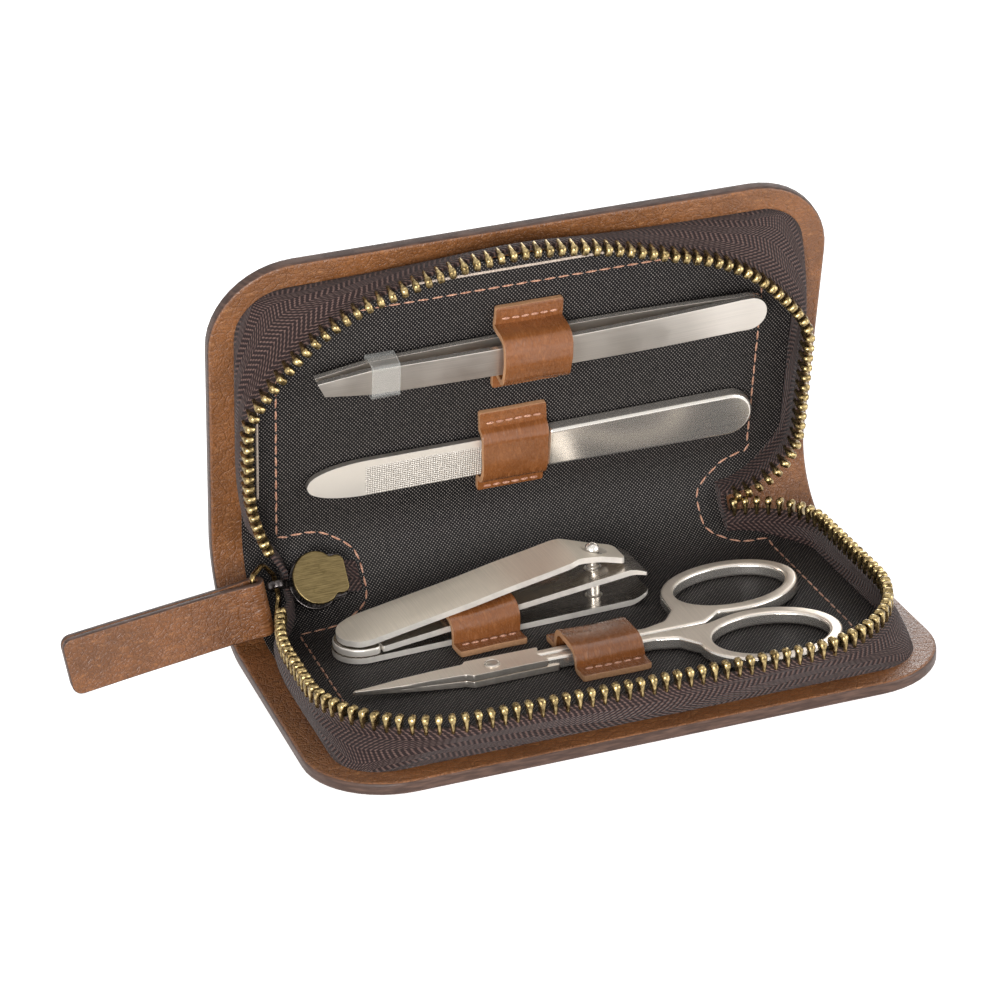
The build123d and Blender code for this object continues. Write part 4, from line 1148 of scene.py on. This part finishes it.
def loop_strap(name, half, x, near, far, top, near_flap, far_flap, crown, place=None,
               rise=0.0, tilt=0.0):
    """Loop of strap leather over a tool, its flaps sewn down with copper thread.

    near and far are its sides, from the hinge, and top its height over the tool at one end;
    it is higher by rise at the other.  place is an origin and the ways along the tool,
    across it and up, for a loop that isn't square to the case."""
    ends = [Path(strap_path(near, far, top + extra, near_flap, far_flap, crown))
            for extra in (0.0, rise)]
    total = ends[0].length
    if place is None:
        half_place, away = HALVES[half]
        place = (half_place @ Vector((x, 0, 0)), Vector((1, 0, 0)),
                 half_place.to_3x3() @ Vector((0, away, 0)),
                 half_place.to_3x3() @ Vector((0, 0, 1)))
    origin, start, across, up = place
    half_strap = strap_length / 2
    outline = rounded(((0, -half_strap), (total, -half_strap), (total, half_strap),
                       (0, half_strap)), 0.5, steps=3)
    bm = slab(outline, strap_thickness, 0.24, segments=2)
    cut(bm, 0, spaced(0, total, 0.5))
    cut(bm, 1, spaced(-half_strap, half_strap, 2.0))

    def shape(distance, along, height):
        share = along / strap_length + 0.5
        (point, heading), (end_point, end_heading) = (
            path.at(distance * path.length / total) for path in ends)
        point = point.lerp(end_point, share)
        heading = heading.lerp(end_heading, share).normalized()
        from_middle = distance / total - 0.5
        wave = 0.18 * noise.noise((distance / 4.0, along / 5.0, len(name) * 1.7))
        flare = 0.35 * (2 * share - 1)**2 * smooth_step((0.34 - abs(from_middle)) / 0.2)
        spot = point + Vector((-heading.y, heading.x)) * (height + wave + flare)
        slip = 0.35 * noise.noise((distance / 6.0, along / 14.0, 4.2)) + tilt * from_middle
        level = max(spot.y, lining_top - 0.1 + height * 0.9)
        return origin + start * (along + slip) + across * spot.x + up * level

    reshape(bm, shape)
    piece(f"{name}_strap", bm, (LOOP_LEATHER, RAW_EDGE), half, (name,))
    seam_in, least_flap = 2.2, 1.5
    seams = []
    for flap, distance in ((near_flap, near_flap - seam_in),
                           (far_flap, total - far_flap + seam_in)):
        if flap > least_flap:
            line = [shape(distance, along, strap_thickness + 0.02)
                    for along in spaced(0.5 - half_strap, half_strap - 0.5, 0.6)]
            seams.append((stitches(Path(line), lambda point: up, 1.5, 0.3, 0.27), Matrix()))
    piece(f"{name}_seams", assembled(seams), (COPPER_THREAD,), half,
          weighted=False)


# --- tweezers --------------------------------------------------------------------------
tweezer_reach = 43.4
tweezer_mid = tool_floor + 0.5 + 2.5
tweezer_arm = 1.2
tweezer_tip_x, tweezer_bow_x, tweezer_weld_x, tweezer_tail_x = -42.0, 5.0, 43.0, 49.0
tweezer_bow, tweezer_tip_gap = 2.5, 0.4


def tweezer_outer(x):
    """Height of an arm's outer face over the middle of the tweezers."""
    if x < tweezer_bow_x:
        share = (tweezer_bow_x - x) / (tweezer_bow_x - tweezer_tip_x)
        return tweezer_bow + (tweezer_tip_gap + tweezer_arm - tweezer_bow) * share**2
    share = min(1.0, (x - tweezer_bow_x) / (tweezer_weld_x - tweezer_bow_x))
    return tweezer_bow + (tweezer_arm - tweezer_bow) * share**2


def tweezers():
    """Two bowed arms with slanted tips, welded together at their round tail."""
    tail = tweezer_tail_x
    corners = ((-42.7, 1.45), (-32.0, 2.9), (tweezer_bow_x, 3.3), (tail - 3.8, 3.8),
               (tail, 3.8), (tail, -3.8), (tail - 3.8, -3.8), (tweezer_bow_x, -3.3),
               (-32.0, -2.9), (-41.2, -1.8))
    radii = (0.2, 12, 40, 0, 3.7, 3.7, 0, 40, 12, 0.3)
    for name, facing, body in (("back", -1, "tweezers"), ("front", 1, "tweezers_arm")):
        bm = slab(rounded(corners, radii, steps=8), tweezer_arm, 0.22, segments=2)
        cut(bm, 0, spaced(tweezer_tip_x, tweezer_tail_x, 3.0))

        def shape(x, y, z, facing=facing):
            layer = z if facing == 1 else tweezer_arm - z
            return Vector((x, y, facing * (tweezer_outer(x) - tweezer_arm + layer)))

        reshape(bm, shape)
        place = lid_place @ Matrix.Translation((0, tweezer_reach, tweezer_mid))
        piece(f"tweezers_{name}_arm", bm, (STEEL, BRIGHT_STEEL), body,
              (f"tweezers_{name}",), place=place)


tweezers()


def guard_sleeve():
    """Clear sleeve that keeps the tips shut."""
    low, high = node_box("guard_band")
    width = high.x - low.x
    half_wide, half_high, wall = 3.95, 2.75, 0.45
    outer, inner = (rounded(((-wide, -tall), (wide, -tall), (wide, tall), (-wide, tall)),
                            corner, steps=4)
                    for wide, tall, corner in ((half_wide, half_high, 1.1),
                                               (half_wide - wall, half_high - wall, 0.7)))
    bm = slab(outer, width, 0.12, holes=(inner,), segments=2)
    place = lid_place @ place_of((low.x, tweezer_reach, tweezer_mid), (0, 1, 0), (1, 0, 0))
    piece("guard_sleeve", bm, (CLEAR_RIM, CLEAR), "guard", ("guard_band",),
          place=place)


guard_sleeve()
loop_strap("loop_tweezers", "lid", 0.4, tweezer_reach - 4.1, tweezer_reach + 4.1,
           tweezer_mid + tweezer_bow + 0.4, 4.6, 4.6, crown=0.7)

# --- nail file -------------------------------------------------------------------------
file_reach = 18.0
file_place = lid_place @ Matrix.Translation((0, file_reach, tool_floor))


def nail_file():
    """Pointed file blade held in a rolled sheet handle."""
    half, neck, tail, root = 4.3, 3.7, 13.0, 5.3
    curve = 14
    tip = [Vector((-43.8 + 12.8 * (1 - cos(a)), -half * sin(a)**0.85))
           for a in (pi / 2 * i / curve for i in range(curve, 0, -1))]
    lower = [Vector((tail, -neck)), Vector((root, -neck)), Vector((root, -half))] + tip
    upper = [Vector((point.x, -point.y)) for point in reversed(lower)]
    blade = slab((lower + [Vector((-43.9, 0))] + upper)[::-1], 1.2, 0.16, segments=2)
    lay_uv(blade)
    piece("file_blade", blade, (FILE_CUT, STEEL), "file", ("nail_file",),
          place=file_place @ Matrix.Translation((0, 0, 0.6)))
    narrow, wide, end = 4.5, 5.1, 48.6
    corners = ((root, -narrow), (end - wide, -wide), (end, -wide), (end, wide),
               (end - wide, wide), (root, narrow))
    handle = slab(rounded(corners, (0.8, 0, 5.0, 5.0, 0, 0.8), steps=9), 3.0, 1.35,
                  segments=6)
    lay_uv(handle)
    piece("file_grip", handle, (BRIGHT_STEEL, BRIGHT_STEEL), "file",
          ("file_handle",), place=file_place)


nail_file()
loop_strap("loop_file", "lid", -1.8, file_reach - 4.9, file_reach + 4.9, tool_floor + 2.0,
           3.2, 4.6, crown=0.3)

# --- nail clipper ----------------------------------------------------------------------
clipper_turn = radians(2.6)
clipper_axis = Vector((cos(clipper_turn), sin(clipper_turn), 0))
clipper_place = place_of((-46.0, hinge.y - 17.9, 0), clipper_axis, (0, 0, 1))
clipper_length, clipper_width, clipper_sheet = 63.8, 11.5, 1.2
pin_reach = 54.0
jaw_top = tool_floor + clipper_sheet
joint_top = jaw_top + 1.7
jaw_start, jaw_end, jaw_rise = 8.2, 60.0, 4.8
curl_from = 59.4


def clipper_outline(start, end, width):
    """Plan of a jaw: round at the joint end, square with soft corners at the bite."""
    half = width / 2
    corners = ((start, -half), (end, -half), (end, half), (start, half))
    return rounded(corners, (half - 0.1, 1.2, 1.2, half - 0.1), steps=9)


def curl_share(u):
    """How far a place along a jaw is into the curl of its bite, 0 to 1."""
    return max(0.0, (u - curl_from) / (clipper_length - curl_from))


def clipper_jaws():
    """Lower jaw, upper jaw and the block that joins them at the back."""
    hole = ellipse((pin_reach, 0), 1.75, 1.75)
    lower = slab(clipper_outline(0, clipper_length, clipper_width), clipper_sheet, 0.3,
                 holes=(hole,), segments=2)
    cut(lower, 0, spaced(46, clipper_length, 0.9))

    def lower_shape(u, v, z):
        share = curl_share(u)
        thin = z * (1 - 0.45 * share)
        return Vector((u - 0.3 * share**2, v, tool_floor + thin + 2.0 * share**1.6))

    reshape(lower, lower_shape)
    # The rims take the steel that carries the painted edge highlight.
    piece("jaw_lower_plate", lower, (JAW_STEEL, EDGE_HIGHLIGHT_STEEL), "clipper",
          ("jaw_lower",), place=clipper_place)
    block = slab(clipper_outline(0.2, 8.0, clipper_width - 0.3), joint_top - jaw_top, 0.45,
                 segments=3)
    piece("jaw_block", raised(block, jaw_top), (JAW_STEEL, EDGE_HIGHLIGHT_STEEL), "clipper",
          ("jaw_joint",), place=clipper_place)
    half = clipper_width / 2
    plan = rounded(((jaw_start, -half), (clipper_length, -half), (clipper_length, half),
                    (jaw_start, half)), (0.4, 1.2, 1.2, 0.4), steps=5)
    upper = slab(plan, clipper_sheet, 0.3, holes=(hole,), segments=2)
    cut(upper, 0, spaced(jaw_start, clipper_length, 1.4))
    bottom = joint_top - clipper_sheet

    def upper_shape(u, v, z):
        slope = (min(u, jaw_end) - jaw_start) / (jaw_end - jaw_start)
        share = curl_share(u)
        thin = clipper_sheet - (clipper_sheet - z) * (1 - 0.45 * share)
        return Vector((u - 0.3 * share**2, v, bottom + jaw_rise * slope + thin
                       - 1.5 * share**1.5))

    reshape(upper, upper_shape)
    piece("jaw_upper_plate", upper, (JAW_STEEL, EDGE_HIGHLIGHT_STEEL), "upper_jaw",
          ("jaw_upper",), place=clipper_place)


clipper_jaws()


def clipper_post():
    """Turned pin with a ball head that the lever hooks on."""
    foot, shank, neck, top, ball = 2.2, 1.3, 0.95, 14.2, 1.55
    profile = [(0, tool_floor), (foot, tool_floor), (foot, tool_floor + 0.3),
               (shank, tool_floor + 0.5), (shank, top - 3.4), (neck, top - 3.0),
               (neck, top - 1.9), (1.25, top - 1.4)]
    profile += [(ball * cos(radians(angle)), top + ball * sin(radians(angle)))
                for angle in range(-50, 81, 13)]
    profile.append((0, top + ball))
    bm = turned(profile)
    lay_uv(bm)
    piece("clipper_post", bm, (BRIGHT_STEEL,), "pin", ("clipper_pin",),
          place=clipper_place @ Matrix.Translation((pin_reach, 0, 0)), weighted=False)


clipper_post()


def clipper_handle():
    """Folded lever: a long inclined blade with a pressed rim, bent down to its nose."""
    start, bend, nose = 1.0, 49.0, 59.8
    half, low, high, end = clipper_width / 2, 6.4, 14.1, 11.3
    side = ((bend - 1.5, half), (52.0, 4.3), (54.5, 3.6), (nose, 3.4))
    corners = ((start, -half), *((u, -v) for u, v in side), *reversed(side), (start, half))
    radii = (half - 0.1, 3.0, 2.0, 2.0, 1.4, 1.4, 2.0, 2.0, 3.0, half - 0.1)
    hole = ellipse((pin_reach + 0.4, 0), 2.6, 2.15)
    bm = slab(rounded(corners, radii, steps=9), clipper_sheet, 0.46, holes=(hole,),
              segments=4)
    cut(bm, 0, spaced(start, bend - 3, 4.0) + spaced(bend - 3, nose, 0.8))
    cut(bm, 1, (-4.0, -2.0, 0.0, 2.0, 4.0))

    def shape(u, v, z):
        incline = low + (high - low) * (min(u, bend) - start) / (bend - start)
        drop = (high - end) * ((u - bend) / (nose - bend))**1.25 if u > bend else 0.0
        crest = 0.1 * smooth_step((u - 44.0) / 5.0) * smooth_step((54.0 - u) / 5.0)
        rim = 0.22 * smooth_step((abs(v) - 3.9) / 1.0) * smooth_step((34.0 - u) / 6.0)
        return Vector((u, v, incline - drop + crest + z - rim))

    reshape(bm, shape)
    # The lever's rim takes the steel that carries the painted edge highlight.
    piece("clipper_handle", bm, (CROSS_STEEL, EDGE_HIGHLIGHT_STEEL), "lever",
          ("clipper_lever",), place=clipper_place)


clipper_handle()
slope_rise = jaw_rise * strap_length / (jaw_end - jaw_start)
loop_place = (clipper_place @ Vector((28.6, 0, 0)), clipper_axis,
              Vector((sin(clipper_turn), -cos(clipper_turn), 0)), Vector((0, 0, 1)))
loop_strap("loop_clipper", "base", 0, -6.15, 6.15, joint_top + slope_rise + 0.3, 0.9, 4.6,
           crown=0.1, rise=slope_rise, place=loop_place)

# --- scissors --------------------------------------------------------------------------
scissors_thickness = 2.8
pivot = (-20.8, 38.4)
ring_width = 2.7


def scissors_blade(upper):
    """Outline of a blade and its half of the box joint, as x and reach."""
    lean, end = (0.5, -10.6) if upper else (-0.9, -8.4)
    corners = ((-47.6, 36.5 + lean * 0.6), (-38.0, 35.9 + lean * 0.3), (-26.0, 36.2),
               (-25.4, 35.2), (end, 35.2), (end - 1.0, 38.0), (end + 0.6, 41.2),
               (-25.4, 41.5), (-26.6, 40.5), (-38.0, 39.0 + lean * 0.3),
               (-47.4, 37.1 + lean * 0.6))
    return rounded(corners, (0.2, 20, 0.8, 0.6, 0.4, 0.4, 0.6, 0.6, 0.8, 20, 0.2), steps=5)


def handle_outline(side):
    """Shank running into a finger ring; side is -1 towards the hinge, 1 to the front."""
    if side < 0:
        centre, long, wide = (32.7, 25.0), 14.2, 10.6
    else:
        centre, long, wide = (32.1, 47.6), 14.0, 10.9
    tilt = side * radians(6)
    split = pivot[1] + side * 0.15
    edge = split + side * 2.4
    ring = ellipse(centre, long, wide, tilt, -side * 120, side * 170, 46)
    into_ring = [(-12.0, edge - side * 0.3), (11.0, edge + side * 0.1),
                 (15.4, edge + side * 1.4), (18.2, edge + side * 5.2)]
    back = [Vector((22.5, split + side * 0.2)), Vector((15.5, split)), Vector((-12.0, split))]
    shank = rounded(into_ring, (0, 2.5, 2.5, 0), closed=False, steps=4)
    hole = ellipse(centre, long - ring_width, wide - ring_width, tilt, count=44)
    return back + shank + ring[::-1], hole


def scissors():
    """Two halves crossing at a rivet, each with a blade, a shank and a finger ring."""
    layer = scissors_thickness / 2
    flip = Matrix.Scale(-1, 4, Vector((0, 1, 0)))
    for name, side, floor, body in (("front", 1, 0.0, "scissors"),
                                    ("back", -1, layer, "scissors_handle")):
        blade = slab(scissors_blade(side < 0), layer - 0.05, 0.2, segments=2)
        cut(blade, 0, spaced(-47, -26, 1.5))
        for vert in blade.verts:
            share = smooth_step((-25.0 - vert.co.x) / 22.0)
            rest = vert.co.z if side < 0 else vert.co.z - layer
            vert.co.z -= 0.55 * share * rest
        outline, hole = handle_outline(side)
        grip = slab(outline, scissors_thickness - 0.1, 0.7, holes=(hole,), segments=4)
        for face in grip.faces:
            face.material_index *= 2
        bm = assembled([(blade, Matrix.Translation((0, 0, floor))), (grip, Matrix())])
        lay_uv(bm)
        bmesh.ops.transform(bm, matrix=flip, verts=bm.verts)
        piece(f"scissors_{name}_half", bm, (BLADE_STEEL, SATIN_STEEL, BRIGHT_STEEL), body,
              (f"scissors_{name}",),
              place=base_place @ Matrix.Translation((0, 0, tool_floor)))
    rivet = turned([(0, 0), (1.55, 0), (1.55, 1.52), (1.4, 1.62), (1.25, 1.52),
                    (1.1, 1.6), (0, 1.66)])
    lay_uv(rivet)
    piece("scissors_pivot_rivet", rivet, (SATIN_STEEL,), "scissors",
          ("scissors_rivet",), weighted=False,
          place=base_place @ Matrix.Translation((pivot[0], -pivot[1], tool_floor + layer)))


scissors()
loop_strap("loop_scissors", "base", 0.8, pivot[1] - 5.2, pivot[1] + 3.6,
           tool_floor + scissors_thickness + 0.4, 4.6, 4.6, crown=0.3, tilt=0.8)


# --- studio ----------------------------------------------------------------------------
def whole_rays(tree):
    """1 for what the camera, gloss and clear parts see, 0 for soft light."""
    seen = tree.nodes.new("ShaderNodeLightPath").outputs
    share = seen["Is Camera Ray"]
    for kind in ("Is Glossy Ray", "Is Transmission Ray"):
        either = tree.nodes.new("ShaderNodeMath")
        either.operation = "MAXIMUM"
        tree.links.new(share, either.inputs[0])
        tree.links.new(seen[kind], either.inputs[1])
        share = either.outputs[0]
    return share


def studio_floor():
    """Plain white floor: below its glow, only the object's shadow shows."""
    glow, drop = 0.8, 0.0003
    bm = bmesh.new()
    bmesh.ops.create_grid(bm, x_segments=2, y_segments=2, size=3.0)
    mesh = bpy.data.meshes.new("floor")
    bm.to_mesh(mesh)
    floor = bpy.data.objects.new("floor", mesh)
    floor.location.z = cad_box[0].z - drop
    bpy.context.scene.collection.objects.link(floor)
    made = Finish("floor_white", (0.86, 0.86, 0.86, 1), 0.9, Specular_IOR_Level=0.0)
    made.set("Emission Color", (1, 1, 1, 1))
    made.set("Emission Strength", made.math("MULTIPLY", whole_rays(made.tree), glow))
    mesh.materials.append(made.material)


def studio_world():
    """Surroundings that light softly, and are white to the camera, gloss and clear parts."""
    soft_light, white = 0.23, 1.0
    world = bpy.data.worlds.new("studio")
    world.use_nodes = True
    bpy.context.scene.world = world
    tree = world.node_tree
    pick = tree.nodes.new("ShaderNodeMix")
    pick.data_type = "FLOAT"
    tree.links.new(whole_rays(tree), pick.inputs[0])
    pick.inputs[2].default_value = soft_light
    pick.inputs[3].default_value = white
    background = tree.nodes["Background"]
    background.inputs["Color"].default_value = (1, 1, 1, 1)
    tree.links.new(pick.outputs[0], background.inputs["Strength"])


def lamp(name, place, target, size, power):
    """Square soft light aimed at a point."""
    data = bpy.data.lights.new(name, "AREA")
    data.size = size
    data.energy = power
    light = bpy.data.objects.new(name, data)
    light.location = place
    aim = Vector(target) - Vector(place)
    light.rotation_euler = aim.to_track_quat("-Z", "Y").to_euler()
    bpy.context.scene.collection.objects.link(light)


def camera():
    """Camera at the photograph's place, found from the case's own edges and tools."""
    azimuth, elevation, roll = 0.305635, 0.428038, -0.054086
    place = Vector((-196.7, -567.5, 311.1)) * MM
    forward = Vector((sin(azimuth) * cos(elevation), cos(azimuth) * cos(elevation),
                      -sin(elevation)))
    right = Vector((cos(azimuth), -sin(azimuth), 0))
    up = right.cross(forward)
    right, up = (right * cos(roll) + up * sin(roll), up * cos(roll) - right * sin(roll))
    turn = Matrix((right, up, -forward)).transposed().to_4x4()
    data = bpy.data.cameras.new("camera")
    data.sensor_width, data.lens = 36.0, 127.8
    data.clip_start, data.clip_end = 0.01, 20.0
    view = bpy.data.objects.new("camera", data)
    view.matrix_world = Matrix.Translation(place) @ turn
    bpy.context.scene.collection.objects.link(view)
    bpy.context.scene.camera = view


studio_floor()
studio_world()
lamp("key", (-0.45, -0.80, 0.18), (0, 0, 0.03), 0.5, 11.5)
lamp("fill", (0.75, -0.5, 0.24), (0, 0, 0.03), 0.6, 5.0)
lamp("top", (0.1, 0.15, 0.9), (0, 0, 0.02), 0.6, 1.0)
lamp("back", (0.3, 0.85, 0.35), (0, 0, 0.03), 0.6, 4.5)
camera()
bpy.context.scene.view_settings.view_transform = "Standard"
